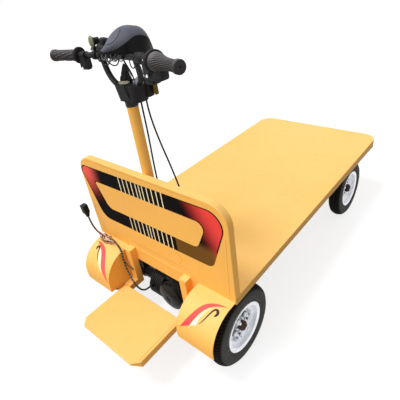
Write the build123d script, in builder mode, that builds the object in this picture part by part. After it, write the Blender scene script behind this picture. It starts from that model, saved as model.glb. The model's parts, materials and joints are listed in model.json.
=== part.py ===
"""Electric platform cart with a rear footboard, a handlebar column and a flat sheet-metal deck.

Millimetres. X points to the right, Y forward (away from the rider), Z up from the ground.
The origin is on the ground under the middle of the cart.
"""

import os
from math import cos, radians, sin, tan

from build123d import *

# Deck: a folded steel pan
deck_width = 900
deck_length = 1672
deck_top = 416
deck_edge = 34
deck_sheet = 3
deck_corner = 90
fold_radius = 4

# Rear panel: a folded box on the deck's rear edge
panel_height = 440
panel_thickness = 31
panel_sheet = 3
panel_corner = 92
panel_seam = 1
strip_height = 22
strip_rise = 1.5
strip_drop = 20

# Footboard behind the panel, carried by two posts
footboard_reach = 400
footboard_length = 276
footboard_width = 393
footboard_drop = 205
footboard_edge = 34
footboard_lip = 10
footboard_sheet = 3
footboard_corner = 32
post_left_x = 184
post_right_x = 186
post_width = 40
post_depth = 38
post_rise = 21

# Fenders over the rear wheels, each fitted by hand to its own wheel
fender_left_inboard = 164
fender_right_inboard = 159
fender_left_skirt = 45
fender_right_skirt = 27
fender_width = 195
fender_sheet = 3
fender_radius = 138
fender_top_drop = 23
fender_flat = 31

# Chassis frame
rail_spacing = 400
rail_width = 40
rail_height = 50
member_width = 36
member_end_gap = 60
member_rear_ahead = 456
member_middle_ahead = 866
crossbeam_height = 58
crossbeam_inset = 130

# Wheels
tyre_radius = 188
tyre_width = 80
bead_radius = 104
rim_flange = 117
rim_width = 70
rim_wall = 4
hub_recess = 32
hub_radius = 40
nose_radius = 30
nose_height = 8
lobe_count = 6
lobe_length = 58
lobe_width = 24
lobe_height = 10
slot_count = 6
slot_circle = 73
slot_length = 48
slot_width = 10
tyre_seat_gap = 0.2
rear_left_inset = 74
rear_right_inset = 41
front_inset = 64
rear_axle_ahead = 20
front_axle_ahead = 1287
spindle_radius = 12.5

# Steering
column_radius = 22.5
column_wall = 3
column_ahead = 23
column_height = 725
shaft_radius = 12
shaft_hole_gap = 3
collar_height = 18
arm_length = 75
arm_angle = 30
arm_thickness = 12
arm_width = 26
link_height = 340
link_radius = 7
eye_radius = 15
eye_height = 16
stud_radius = 6
kingpin_offset = 90
kingpin_radius = 10
tie_arm = 100
tie_radius = 7
running_clearance = 0.3

# Handlebar group
bar_rise = 184
bar_radius = 11
bar_reach = 250
bar_sweep = 13
bend_x = 100
bend_setback = 8
riser_radius = 10
riser_bend = 22
riser_x = 97
riser_drop = 45
riser_foot = 12
foot_x = 38
foot_ahead = 7
yoke_width = 96
yoke_depth = 34
yoke_thickness = 14
yoke_lift = 24
grip_length = 134
grip_root = 34
grip_taper = 30
grip_end = 22.5
grip_end_length = 16
grip_cap = 4
tub_height = 63
tub_wall = 3.5
tub_ahead = 16
hood_base_width = 84
hood_base_length = 107
hood_base_ahead = 35
hood_base_height = 20
hood_base_corner = 16
display_width = 44
display_length = 74
display_depth = 2.5
display_tilt = 26
display_back = 18
display_rise = 65
bell_reach = 31
bell_radius = 21
bell_lift = 47

# Drive and battery
axle_tube_radius = 28
axle_hanger_depth = 36
case_radius = 72
case_left = -95
case_step = -12
case_right = 110
motor_radius = 70
motor_length = 46
motor_flange = 4
motor_bolts = 12
case_neck_rise = 56
case_groove = 5
case_groove_width = 5
case_groove_pitch = 11
case_grooves = 5
motor_x = 62
motor_lift = 22
battery_width = 348
battery_length = 600
battery_height = 165
battery_clearance = 16
battery_corner = 8
battery_ahead = 196

# Cords
gland_lift = 27
cable_radius = 3.5
lead_radius = 4.5
plug_neck = 24
plug_neck_size = (30, 24)
plug_body = 44
plug_body_size = (34, 28)
plug_corner = 5

# Places worked out from the sizes above
deck_rear = footboard_reach - (footboard_reach + deck_length) / 2
deck_front = deck_rear + deck_length
deck_middle = (deck_rear + deck_front) / 2
deck_bottom = deck_top - deck_edge
deck_under = deck_top - deck_sheet
panel_rear = deck_rear - panel_thickness
rail_bottom = deck_under - rail_height
rear_axle_y = deck_rear + rear_axle_ahead
front_axle_y = deck_rear + front_axle_ahead
axle_z = tyre_radius
column_y = deck_rear + column_ahead
column_top = deck_top + column_height
bar_z = column_top + bar_rise
bend_y = column_y - bend_setback
rear_left_x = deck_width / 2 - rear_left_inset
rear_right_x = deck_width / 2 - rear_right_inset
front_wheel_x = deck_width / 2 - front_inset
kingpin_x = front_wheel_x - kingpin_offset
web = rim_width / 2 - hub_recess
arm_x = arm_length * cos(radians(arm_angle))
arm_y = arm_length * sin(radians(arm_angle))
arm_z = link_height - eye_height / 2 - 2 - arm_thickness / 2
ear_gap = 30
ear_thickness = 12
ear_top = axle_z + ear_gap + ear_thickness
ear_bottom = axle_z - ear_gap - ear_thickness

SIDES = (("left", -1), ("right", 1))


def save(builder, name):
    """Label a finished piece and write it as one STEP file."""
    builder.part.label = name
    export_step(builder.part, f"parts/{name}.step")


def across(y):
    """An upright plane across the cart at y, facing the rider: local x is X, local y is Z."""
    return Plane.XZ.offset(-y)


def lengthwise(x):
    """An upright plane along the cart at x, facing right: local x is Y, local y is Z."""
    return Plane.YZ.offset(x)


def rounded_route(points, tightest):
    """A cord's route: straight runs joined by arcs as large as their runs allow."""
    spots = [Vector(*point) for point in points]
    radii = []
    for before, here, after in zip(spots, spots[1:], spots[2:]):
        turn = (here - before).get_angle(after - here)
        run = min((here - before).length, (after - here).length)
        radii.append(0.45 * run / tan(radians(turn / 2)))
    print("cord radii", [round(radius) for radius in radii], "tightest wanted", tightest)
    return spots, radii


os.makedirs("parts", exist_ok=True)

# Deck pan: flat top, folded edges, rounded front corners and a hole for the steering shaft
with BuildPart() as deck:
    with BuildSketch(Plane.XY.offset(deck_bottom)) as deck_outline:
        with Locations((0, deck_middle)):
            Rectangle(deck_width, deck_length)
        fillet(deck_outline.vertices().group_by(Axis.Y)[-1], deck_corner)
    extrude(amount=deck_edge)
    fillet(deck.faces().sort_by(Axis.Z)[-1].edges(), fold_radius)
    with BuildSketch(Plane.XY.offset(deck_bottom)) as deck_hollow:
        with Locations((0, deck_middle)):
            Rectangle(deck_width - 2 * deck_sheet, deck_length - 2 * deck_sheet)
        fillet(deck_hollow.vertices().group_by(Axis.Y)[-1], deck_corner - deck_sheet)
    extrude(amount=deck_edge - deck_sheet, mode=Mode.SUBTRACT)
    with Locations((0, column_y, deck_top)):
        Hole(shaft_radius + shaft_hole_gap, depth=2 * deck_sheet)
save(deck, "deck_pan")

# Rear panel: a pan that is open to the deck, and the sheet that closes it
panel_middle = (deck_bottom + deck_top + panel_height) / 2
panel_full = panel_height + deck_edge
with BuildPart() as panel:
    with BuildSketch(across(deck_rear)) as panel_outline:
        with Locations((0, panel_middle)):
            Rectangle(deck_width, panel_full)
        fillet(panel_outline.vertices().group_by(Axis.Y)[-1], panel_corner)
    extrude(amount=panel_thickness)
    fillet(panel.faces().sort_by(Axis.Y)[0].edges(), fold_radius)
    with BuildSketch(across(deck_rear)) as panel_hollow:
        with Locations((0, panel_middle)):
            Rectangle(deck_width - 2 * panel_sheet, panel_full - 2 * panel_sheet)
        fillet(panel_hollow.vertices().group_by(Axis.Y)[-1], panel_corner - panel_sheet)
    extrude(amount=panel_thickness - panel_sheet, mode=Mode.SUBTRACT)
    strip_left = -post_left_x + post_width / 2 + fold_radius
    strip_right = post_right_x - post_width / 2 - fold_radius
    with BuildSketch(across(panel_rear)):
        with Locations(((strip_left + strip_right) / 2, deck_top - strip_drop)):
            RectangleRounded(strip_right - strip_left, strip_height, fold_radius)
    extrude(amount=strip_rise)
save(panel, "panel_shell")

panel_inset = panel_sheet + panel_seam
with BuildPart() as panel_back:
    with BuildSketch(across(deck_rear)) as back_outline:
        with Locations((0, panel_middle)):
            Rectangle(deck_width - 2 * panel_inset, panel_full - 2 * panel_inset)
        fillet(back_outline.vertices().group_by(Axis.Y)[-1], panel_corner - panel_inset)
    extrude(amount=panel_sheet)
    with BuildSketch(across(deck_rear - panel_sheet)):
        with Locations((-deck_width / 4, panel_middle), (deck_width / 4, panel_middle)):
            Rectangle(rail_width, panel_full - 2 * panel_corner)
    extrude(amount=panel_thickness - 2 * panel_sheet)
save(panel_back, "panel_back")

# Box beam under the panel, between the two fenders
with BuildPart() as crossbeam:
    with BuildSketch(across(deck_rear - 1)):
        with Locations((0, deck_bottom - crossbeam_height / 2)):
            RectangleRounded(deck_width - 2 * crossbeam_inset, crossbeam_height, fold_radius)
    extrude(amount=panel_thickness - 2)
save(crossbeam, "rear_crossbeam")

# Two rails under the deck and the members between them
rail_length = deck_length - 2 * (deck_sheet + 10)
for side_name, side in SIDES:
    with BuildPart() as rail:
        with BuildSketch(across(deck_middle + rail_length / 2)):
            with Locations((side * rail_spacing / 2, rail_bottom + rail_height / 2)):
                RectangleRounded(rail_width, rail_height, fold_radius)
                Rectangle(rail_width - 2 * deck_sheet, rail_height - 2 * deck_sheet, mode=Mode.SUBTRACT)
        extrude(amount=rail_length)
    save(rail, f"rail_{side_name}")

member_places = (column_y, deck_rear + member_rear_ahead, deck_rear + member_middle_ahead, front_axle_y,
                 deck_front - member_end_gap)
member_length = rail_spacing - rail_width
with BuildPart() as members:
    with BuildSketch(Plane.XY.offset(rail_bottom)):
        with Locations(*[(0, place) for place in member_places]):
            Rectangle(member_length, member_width)
    extrude(amount=rail_height)
    with Locations((0, column_y, deck_under)):
        Hole(shaft_radius + running_clearance, depth=rail_height)
save(members, "cross_members")

# Posts on the beam, each with a short arm back to the footboard
footboard_top = deck_top - footboard_drop
footboard_rear = deck_rear - footboard_reach
footboard_front = footboard_rear + footboard_length
post_rear = panel_rear - post_depth
POSTS = (("left", -post_left_x), ("right", post_right_x))
for side_name, post_x in POSTS:
    with BuildPart() as post:
        with BuildSketch(lengthwise(post_x - post_width / 2)):
            with BuildLine():
                Polyline(
                    (panel_rear, footboard_top - footboard_edge),
                    (panel_rear, deck_bottom + post_rise),
                    (post_rear, deck_bottom + post_rise),
                    (post_rear, footboard_top),
                    (footboard_front, footboard_top),
                    (footboard_front, footboard_top - footboard_edge),
                    close=True,
                )
            make_face()
        extrude(amount=post_width)
        fillet(post.edges().filter_by(Axis.Z), fold_radius)
    save(post, f"post_{side_name}")

# Footboard: a folded pan with cut rear corners
with BuildPart() as footboard:
    with BuildSketch(Plane.XY.offset(footboard_top - footboard_edge)) as board_outline:
        with Locations((0, footboard_rear + footboard_length / 2)):
            Rectangle(footboard_width, footboard_length)
        chamfer(board_outline.vertices().group_by(Axis.Y)[0], footboard_corner)
    extrude(amount=footboard_edge)
    fillet(footboard.faces().sort_by(Axis.Z)[-1].edges(), fold_radius)
    with BuildSketch(Plane.XY.offset(footboard_top - footboard_edge)) as board_hollow:
        with Locations((0, footboard_rear + footboard_length / 2)):
            Rectangle(footboard_width - 2 * footboard_sheet, footboard_length - 2 * footboard_sheet)
        chamfer(board_hollow.vertices().group_by(Axis.Y)[0], footboard_corner)
    extrude(amount=footboard_edge - footboard_sheet, mode=Mode.SUBTRACT)
    with BuildSketch(Plane.XY.offset(footboard_top - footboard_lip)):
        with Locations((0, footboard_rear)):
            Rectangle(footboard_width, 2 * (footboard_corner + footboard_sheet))
    extrude(amount=-footboard_edge, mode=Mode.SUBTRACT)
save(footboard, "footboard")

# Fenders: a rolled sheet over each rear wheel with a D-shaped inner wall
fender_top = deck_top - fender_top_drop


def fender_profile(skirt, thickness, past):
    """The fender's side outline, drawn in by thickness and run past its open edges."""
    radius = fender_radius - thickness
    centre_y = panel_rear - fender_flat
    centre_z = fender_top - fender_radius
    foot = centre_z - skirt - past
    turn = (centre_y - radius * sin(radians(45)), centre_z + radius * cos(radians(45)))
    with BuildLine() as outline:
        Line((panel_rear + past, centre_z + radius), (centre_y, centre_z + radius))
        ThreePointArc((centre_y, centre_z + radius), turn, (centre_y - radius, centre_z))
        Polyline(
            (centre_y - radius, centre_z),
            (centre_y - radius, foot),
            (panel_rear + past, foot),
            (panel_rear + past, centre_z + radius),
        )
    return outline.edges()


FENDERS = (
    # name, side, place of the inner wall, skirt
    ("left", -1, rear_left_x - fender_left_inboard, fender_left_skirt),
    ("right", 1, rear_right_x - fender_right_inboard, fender_right_skirt),
)
for side_name, side, inside, skirt in FENDERS:
    with BuildPart() as fender:
        with BuildSketch(lengthwise(side * inside)):
            make_face(fender_profile(skirt, 0, 0))
        extrude(amount=side * fender_width)
        with BuildSketch(lengthwise(side * (inside + fender_sheet))):
            make_face(fender_profile(skirt, fender_sheet, fender_sheet))
        extrude(amount=side * fender_width, mode=Mode.SUBTRACT)
    save(fender, f"fender_{side_name}")

# Steering column: a tube on the deck with a bush at each end
bush_length = 40
with BuildPart() as column:
    with BuildSketch(Plane.XY.offset(deck_top)):
        with Locations((0, column_y)):
            Circle(column_radius)
            Circle(column_radius - column_wall, mode=Mode.SUBTRACT)
    extrude(amount=column_height)
    for bush_foot in (deck_top, column_top - bush_length):
        with BuildSketch(Plane.XY.offset(bush_foot)):
            with Locations((0, column_y)):
                Circle(column_radius - column_wall)
                Circle(shaft_radius + running_clearance, mode=Mode.SUBTRACT)
        extrude(amount=bush_length)
save(column, "column_tube")

# Battery block and the two straps that hang it from the rails
strap_thickness = (member_length - battery_width) / 2
battery_top = link_height - link_radius - battery_clearance
battery_y = rear_axle_y + battery_ahead + battery_length / 2
with BuildPart() as battery:
    with BuildSketch(Plane.XY.offset(battery_top - battery_height)):
        with Locations((0, battery_y)):
            RectangleRounded(battery_width, battery_length, battery_corner)
    extrude(amount=battery_height)
save(battery, "battery_block")

strap_width = 40
strap_foot = battery_top - battery_height - strap_thickness
with BuildPart() as straps:
    for place in (battery_y - battery_length / 3, battery_y + battery_length / 3):
        with BuildSketch(across(place + strap_width / 2)):
            with Locations((0, strap_foot)):
                Rectangle(member_length, strap_thickness, align=(Align.CENTER, Align.MIN))
            for side_name, side in SIDES:
                with Locations((side * (member_length - strap_thickness) / 2, strap_foot)):
                    Rectangle(
                        strap_thickness,
                        deck_under - rail_height / 4 - strap_foot,
                        align=(Align.CENTER, Align.MIN),
                    )
        extrude(amount=strap_width)
save(straps, "battery_straps")

# Rear axle: two tubes with hangers to the rails, and a stub for each wheel
tube_end_gap = 8
AXLE_ENDS = (
    # side, end of the gear case, middle of the wheel
    (-1, -case_left, rear_left_x),
    (1, case_right, rear_right_x),
)
with BuildPart() as rear_axle:
    for side, near, wheel_x in AXLE_ENDS:
        with BuildSketch(lengthwise(side * near)):
            with Locations((rear_axle_y, axle_z)):
                Circle(axle_tube_radius)
        extrude(amount=side * (wheel_x - tyre_width / 2 - tube_end_gap - near))
        with BuildSketch(lengthwise(side * near)):
            with Locations((rear_axle_y, axle_z)):
                Circle(spindle_radius)
        extrude(amount=side * (wheel_x + web - rim_wall - running_clearance - near))
        with BuildSketch(lengthwise(side * (rail_spacing / 2 - rail_width / 4))):
            with Locations((rear_axle_y, axle_z)):
                Rectangle(axle_hanger_depth, rail_bottom - axle_z, align=(Align.CENTER, Align.MIN))
                Circle(1.2 * axle_tube_radius)
        extrude(amount=side * rail_width / 2)
save(rear_axle, "rear_axle")

# Gear case on the axle, with the gland that the charging lead leaves from
gland_x = -70
gland_z = axle_z + gland_lift
gland_end = rear_axle_y - case_radius - 12
with BuildPart() as gear_case:
    with BuildSketch(lengthwise(case_left)):
        with Locations((rear_axle_y, axle_z)):
            Circle(case_radius)
    extrude(amount=case_step - case_left)
    fillet(gear_case.edges().filter_by(GeomType.CIRCLE), 10)
    for groove in range(case_grooves):
        with BuildSketch(lengthwise(case_left + (groove + 1.5) * case_groove_pitch)):
            with Locations((rear_axle_y, axle_z)):
                Circle(case_radius + case_groove)
                Circle(case_radius - case_groove, mode=Mode.SUBTRACT)
        extrude(amount=case_groove_width, mode=Mode.SUBTRACT)
    with BuildSketch(lengthwise(case_step)):
        with Locations((rear_axle_y + 5, axle_z + motor_lift - 4)):
            RectangleRounded(2 * axle_tube_radius + 12, 2 * axle_tube_radius + case_neck_rise, 16)
    extrude(amount=case_right - case_step)
    with BuildSketch(across(rear_axle_y)):
        with Locations((gland_x, gland_z)):
            Circle(2 * lead_radius)
    extrude(amount=rear_axle_y - gland_end)
save(gear_case, "gear_case")

# Drive motor: a flat round body, a bolted flange and a domed end cap that faces the rider
motor_front = rear_axle_y + 5 - axle_tube_radius - 6
motor_z = axle_z + motor_lift
flange_near = 0.5 * motor_length
flange_far = 0.7 * motor_length
with BuildPart() as motor:
    with BuildSketch(Plane.YZ.offset(motor_x)):
        with BuildLine():
            Polyline(
                (motor_front - motor_length, motor_z),
                (motor_front, motor_z),
                (motor_front, motor_z + motor_radius - 6),
                (motor_front - flange_near, motor_z + motor_radius - 6),
                (motor_front - flange_near, motor_z + motor_radius + motor_flange),
                (motor_front - flange_far, motor_z + motor_radius + motor_flange),
                (motor_front - flange_far, motor_z + motor_radius - 4),
            )
            ThreePointArc(
                (motor_front - flange_far, motor_z + motor_radius - 4),
                (motor_front - motor_length + 4, motor_z + 0.8 * motor_radius),
                (motor_front - motor_length, motor_z + 0.62 * motor_radius),
            )
            Line(
                (motor_front - motor_length, motor_z + 0.62 * motor_radius),
                (motor_front - motor_length, motor_z),
            )
        make_face()
    revolve(axis=Axis((motor_x, motor_front, motor_z), (0, 1, 0)))
    with BuildSketch(across(motor_front - flange_far + 1)):
        with Locations((motor_x, motor_z)):
            with PolarLocations(motor_radius, motor_bolts):
                RegularPolygon(5, 6)
    extrude(amount=5)
save(motor, "drive_motor")

# Front axle: a square beam with a boss for each kingpin and two hangers
beam_half = 25
hanger_x = 150
hanger_thickness = 20
with BuildPart() as front_axle:
    with BuildSketch(lengthwise(-kingpin_x)):
        with Locations((front_axle_y, axle_z)):
            RectangleRounded(2 * beam_half, 2 * beam_half, fold_radius)
    extrude(amount=2 * kingpin_x)
    with BuildSketch(Plane.XY.offset(axle_z - ear_gap + running_clearance)):
        with Locations((-kingpin_x, front_axle_y), (kingpin_x, front_axle_y)):
            Circle(beam_half)
    extrude(amount=2 * (ear_gap - running_clearance))
    with BuildSketch(Plane.XY.offset(axle_z)):
        with Locations((-hanger_x, front_axle_y), (hanger_x, front_axle_y)):
            Rectangle(hanger_thickness, 2 * beam_half)
    extrude(amount=rail_bottom - axle_z)
    with Locations((-kingpin_x, front_axle_y, ear_top), (kingpin_x, front_axle_y, ear_top)):
        Hole(kingpin_radius + running_clearance, depth=ear_top - ear_bottom)
save(front_axle, "front_axle")

# Knuckles: a fork on the kingpin, the wheel's spindle and the steering arms
plate_near = 28
plate_thickness = 10
spindle_end = front_wheel_x + web - rim_wall
for side_name, side in SIDES:
    with BuildPart() as knuckle:
        for ear_foot in (ear_bottom, axle_z + ear_gap):
            with BuildSketch(Plane.XY.offset(ear_foot)):
                with Locations((side * kingpin_x, front_axle_y)):
                    Circle(beam_half)
                with Locations((side * (kingpin_x + plate_near / 2), front_axle_y)):
                    Rectangle(plate_near, 2 * beam_half)
            extrude(amount=ear_thickness)
        with BuildSketch(Plane.XY.offset(ear_bottom)):
            with Locations((side * (kingpin_x + plate_near + plate_thickness / 2), front_axle_y)):
                Rectangle(plate_thickness, 2 * beam_half)
        extrude(amount=ear_top - ear_bottom)
        with BuildSketch(Plane.XY.offset(ear_bottom)):
            with Locations((side * kingpin_x, front_axle_y)):
                Circle(kingpin_radius)
        extrude(amount=ear_top - ear_bottom)
        with BuildSketch(lengthwise(side * (kingpin_x + plate_near))):
            with Locations((front_axle_y, axle_z)):
                Circle(spindle_radius)
        extrude(amount=side * (spindle_end - kingpin_x - plate_near - running_clearance))
        with BuildSketch(Plane.XY.offset(ear_bottom)):
            with Locations((side * kingpin_x, front_axle_y - tie_arm / 2)):
                SlotCenterToCenter(tie_arm, arm_width, rotation=90)
        extrude(amount=arm_thickness)
        with BuildSketch(Plane.XY.offset(ear_bottom)):
            with Locations((side * kingpin_x, front_axle_y - tie_arm)):
                Circle(stud_radius)
        extrude(amount=-eye_height - 4)
        if side_name == "left":
            with BuildSketch(Plane.XY.offset(axle_z + ear_gap)):
                with Locations((-kingpin_x, front_axle_y)):
                    Circle(arm_width / 2)
            extrude(amount=arm_z - axle_z - ear_gap)
            with BuildSketch(Plane.XY.offset(arm_z - arm_thickness / 2)):
                with Locations((-kingpin_x + arm_x / 2, front_axle_y + arm_y / 2)):
                    SlotCenterToCenter(arm_length, arm_width, rotation=arm_angle)
            extrude(amount=arm_thickness)
            with BuildSketch(Plane.XY.offset(arm_z)):
                with Locations((-kingpin_x + arm_x, front_axle_y + arm_y)):
                    Circle(stud_radius)
            extrude(amount=arm_thickness / 2 + eye_height + 4)
    save(knuckle, f"knuckle_{side_name}")


# Drag link from the column's arm to the left knuckle, and the tie rod between the knuckles
tie_y = front_axle_y - tie_arm
tie_z = ear_bottom - 2 - eye_height / 2
RODS = (
    # name, radius, one eye, the other eye
    (
        "drag_link",
        link_radius,
        (arm_x, column_y + arm_y, link_height),
        (-kingpin_x + arm_x, front_axle_y + arm_y, link_height),
    ),
    ("tie_rod", tie_radius, (-kingpin_x, tie_y, tie_z), (kingpin_x, tie_y, tie_z)),
)
for rod_name, rod_radius, near_eye, far_eye in RODS:
    span = Vector(*far_eye) - Vector(*near_eye)
    with BuildPart() as rod:
        with Locations(near_eye, far_eye):
            Cylinder(eye_radius, eye_height)
        with BuildSketch(Plane(origin=near_eye, z_dir=span)):
            Circle(rod_radius)
        extrude(amount=span.length)
        with Locations(near_eye, far_eye):
            Cylinder(stud_radius + running_clearance, eye_height, mode=Mode.SUBTRACT)
    save(rod, rod_name)

# Steering shaft through the column, with its arm under the deck and a collar above the tube
tub_foot = column_top + 2 + collar_height
yoke_foot = tub_foot + yoke_lift
with BuildPart() as shaft:
    with BuildSketch(Plane.XY.offset(arm_z - arm_thickness / 2)):
        with Locations((0, column_y)):
            Circle(shaft_radius)
    extrude(amount=yoke_foot - arm_z + arm_thickness / 2)
    with BuildSketch(Plane.XY.offset(arm_z - arm_thickness / 2)):
        with Locations((arm_x / 2, column_y + arm_y / 2)):
            SlotCenterToCenter(arm_length, arm_width, rotation=arm_angle)
    extrude(amount=arm_thickness)
    with BuildSketch(Plane.XY.offset(arm_z)):
        with Locations((arm_x, column_y + arm_y)):
            Circle(stud_radius)
    extrude(amount=arm_thickness / 2 + eye_height + 4)
    with BuildSketch(Plane.XY.offset(column_top + 2)):
        with Locations((0, column_y)):
            Circle(column_radius + 2)
    extrude(amount=collar_height)
save(shaft, "steering_shaft")


def bar_plane(side, reach):
    """A plane across the bar, reach out from its bend and facing its end: local y is up."""
    along = Vector(side * cos(radians(bar_sweep)), -sin(radians(bar_sweep)), 0)
    bend = Vector(side * bend_x, bend_y, bar_z)
    return Plane(origin=bend + along * reach, x_dir=(-along.Y, along.X, 0), z_dir=along)


# Handlebar: each half runs in from its grip, bends down as a riser and ends in the yoke on the shaft;
# a straight middle joins the halves and has two saddles for the hood
saddle_width = 20
saddle_depth = 40
saddle_spacing = 56
hood_foot = bar_z + bar_radius + 1
foot_y = column_y + foot_ahead
with BuildPart() as handlebar:
    for side_name, side in SIDES:
        with BuildLine() as bar_path:
            FilletPolyline(
                bar_plane(side, bar_reach).origin,
                (side * bend_x, bend_y, bar_z),
                (side * riser_x, bend_y, bar_z - riser_drop),
                (side * foot_x, foot_y, yoke_foot + yoke_thickness + riser_foot),
                (side * foot_x, foot_y, yoke_foot + yoke_thickness / 2),
                radius=riser_bend,
            )
        with BuildSketch(Plane(origin=bar_path.line @ 0, z_dir=bar_path.line % 0)):
            Circle(bar_radius)
        sweep(path=bar_path.line)
    with BuildSketch(lengthwise(-bend_x - bar_radius)):
        with Locations((bend_y, bar_z)):
            Circle(bar_radius)
    extrude(amount=2 * (bend_x + bar_radius))
    with BuildSketch(Plane.XY.offset(hood_foot)):
        with Locations((-saddle_spacing / 2, bend_y), (saddle_spacing / 2, bend_y)):
            Rectangle(saddle_width, saddle_depth)
    extrude(amount=-bar_radius)
    with BuildSketch(Plane.XY.offset(yoke_foot)):
        with Locations((0, foot_y - 2)):
            RectangleRounded(yoke_width, yoke_depth, 12)
    extrude(amount=yoke_thickness)
save(handlebar, "handlebar")

# Stem cover: an open tub round the yoke
TUB_RINGS = (
    # width, depth, corner, height of the ring
    (114, 70, 26, tub_foot),
    (136, 80, 30, tub_foot + tub_height),
)
with BuildPart() as tub:
    for inset in (0, tub_wall):
        for width, depth, corner, height in TUB_RINGS:
            lift = tub_wall if inset and height == tub_foot else inset / 4
            with BuildSketch(Plane.XY.offset(height + lift)):
                with Locations((0, column_y + tub_ahead)):
                    RectangleRounded(width - 2 * inset, depth - 2 * inset, corner - inset)
        loft(mode=Mode.SUBTRACT if inset else Mode.ADD)
    with Locations((0, column_y, tub_foot + tub_wall)):
        Hole(shaft_radius + tyre_seat_gap, depth=2 * tub_wall)
save(tub, "stem_cover")

# Headlamp hood: a cowl whose lower edge arches over the bar on each side, the body under it and its base
HOOD_SECTIONS = (
    # place ahead of the column, half width, edge and crown above the bar, foot's half width, foot above the bar
    (-77, 10, 27, 35, 6, 22),
    (-45, 38, 31, 54, 27, 18),
    (-8, 56, 46, 76, 46, 14),
    (32, 62, 59, 91, 52, 14),
    (72, 60, 51, 91, 52, 14),
    (109, 48, 21, 74, 41, 2),
    (145, 16, -17, 6, 12, -27),
)
display_plane = Plane(
    origin=(0, column_y - display_back, bar_z + display_rise),
    x_dir=(1, 0, 0),
    z_dir=(0, -sin(radians(display_tilt)), cos(radians(display_tilt))),
)
with BuildPart() as hood:
    for ahead, half_width, edge, crown, foot_half, foot in HOOD_SECTIONS:
        with BuildSketch(across(column_y + ahead)):
            with BuildLine():
                Polyline(
                    (-half_width, bar_z + edge),
                    (-foot_half, bar_z + foot),
                    (foot_half, bar_z + foot),
                    (half_width, bar_z + edge),
                )
                ThreePointArc((half_width, bar_z + edge), (0, bar_z + crown), (-half_width, bar_z + edge))
            make_face()
    loft()
    with BuildSketch(Plane.XY.offset(hood_foot)):
        with Locations((0, column_y + hood_base_ahead)):
            RectangleRounded(hood_base_width, hood_base_length, hood_base_corner)
    extrude(amount=hood_base_height)
    with BuildSketch(display_plane):
        Ellipse(display_width / 2, display_length / 2)
    extrude(amount=display_width, mode=Mode.SUBTRACT)
save(hood, "headlamp_hood")

with BuildPart() as display:
    with BuildSketch(display_plane):
        Ellipse(display_width / 2 - tyre_seat_gap, display_length / 2 - tyre_seat_gap)
    extrude(amount=display_depth)
save(display, "display_face")

# Grips, each with a flange at its inner end, and the pods clamped beside them
GRIPS = (
    # name, side, flange radius and length, grip's radius at its root and waist, pod length, depth, height and drop
    ("left", -1, 30, 12, 21, 22, 27, 34, 66, 20),
    ("right", 1, 36, 16, 24.5, 19.5, 37, 46, 72, 16),
)
pod_gap = 1
pod_corner = 12
for side_name, side, flange, flange_length, root, waist, pod_length, pod_depth, pod_height, pod_drop in GRIPS:
    grip_near = bar_reach - grip_length
    grip_far = bar_reach + grip_cap
    flange_start = grip_near - flange_length
    bore = bar_radius + tyre_seat_gap
    along = bar_plane(side, 0).z_dir
    with BuildPart() as grip:
        with BuildSketch(Plane(origin=bar_plane(side, 0).origin, x_dir=along, z_dir=(along.Y, -along.X, 0))):
            with BuildLine():
                Polyline(
                    (flange_start, bore),
                    (flange_start, flange),
                    (grip_near, flange),
                    (grip_near, root),
                    (grip_near + grip_root, root),
                    (grip_near + grip_root + grip_taper, waist),
                    (grip_far - grip_end_length, waist),
                    (grip_far - grip_end_length, grip_end),
                    (grip_far, grip_end),
                    (grip_far, 0),
                    (bar_reach + tyre_seat_gap, 0),
                    (bar_reach + tyre_seat_gap, bore),
                    close=True,
                )
            make_face()
        revolve(axis=Axis(bar_plane(side, 0).origin, along))
    save(grip, f"grip_{side_name}")
    with BuildPart() as pod:
        with BuildSketch(bar_plane(side, flange_start - pod_gap - pod_length)):
            with Locations((0, -pod_drop)):
                RectangleRounded(pod_depth, pod_height, pod_corner)
            Circle(bar_radius + tyre_seat_gap, mode=Mode.SUBTRACT)
        extrude(amount=pod_length)
    save(pod, f"switch_pod_{side_name}")

# Bell: a clamp on the bar, a stem, a round back and a dome that faces the rider
bell_place = bar_plane(-1, bell_reach).origin
clamp_length = 14
clamp_wall = 4
stem_width = 10
bell_turn = 18
bell_depth = 10
bell_taper = 40
bell_back_radius = 13
bell_back_length = 26
bell_face = Plane(
    origin=(bell_place.X, bell_place.Y, bar_z + bell_lift),
    x_dir=(cos(radians(bell_turn)), -sin(radians(bell_turn)), 0),
    z_dir=(-sin(radians(bell_turn)), -cos(radians(bell_turn)), 0),
)
with BuildPart() as bell:
    with BuildSketch(bar_plane(-1, bell_reach - clamp_length / 2)):
        Circle(bar_radius + clamp_wall)
        Circle(bar_radius + tyre_seat_gap, mode=Mode.SUBTRACT)
    extrude(amount=clamp_length)
    with BuildSketch(across(bell_place.Y + stem_width / 2)):
        with Locations((bell_place.X, bar_z + bar_radius + clamp_wall / 2)):
            Rectangle(stem_width, bell_lift - bar_radius, align=(Align.CENTER, Align.MIN))
    extrude(amount=stem_width)
    with BuildSketch(bell_face):
        Circle(bell_radius)
    extrude(amount=bell_depth, taper=bell_taper)
    with BuildSketch(bell_face):
        Circle(bell_back_radius)
    extrude(amount=-bell_back_length)
save(bell, "bell")

# Bracket: a plate on the stem cover's front wall, with a return at its right end
bracket_near = 10
bracket_far = 94
bracket_height = 44
bracket_thickness = 4
bracket_return = 16
tub_front = column_y + tub_ahead + TUB_RINGS[1][1] / 2
with BuildPart() as bracket:
    with BuildSketch(Plane.XY.offset(tub_foot + tub_height)):
        with Locations((bracket_near, tub_front)):
            Rectangle(bracket_far - bracket_near, bracket_thickness, align=(Align.MIN, Align.MIN))
        with Locations((bracket_far, tub_front + bracket_thickness)):
            Rectangle(bracket_thickness, bracket_return, align=(Align.MAX, Align.MAX))
    extrude(amount=-bracket_height)
save(bracket, "stem_bracket")


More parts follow.
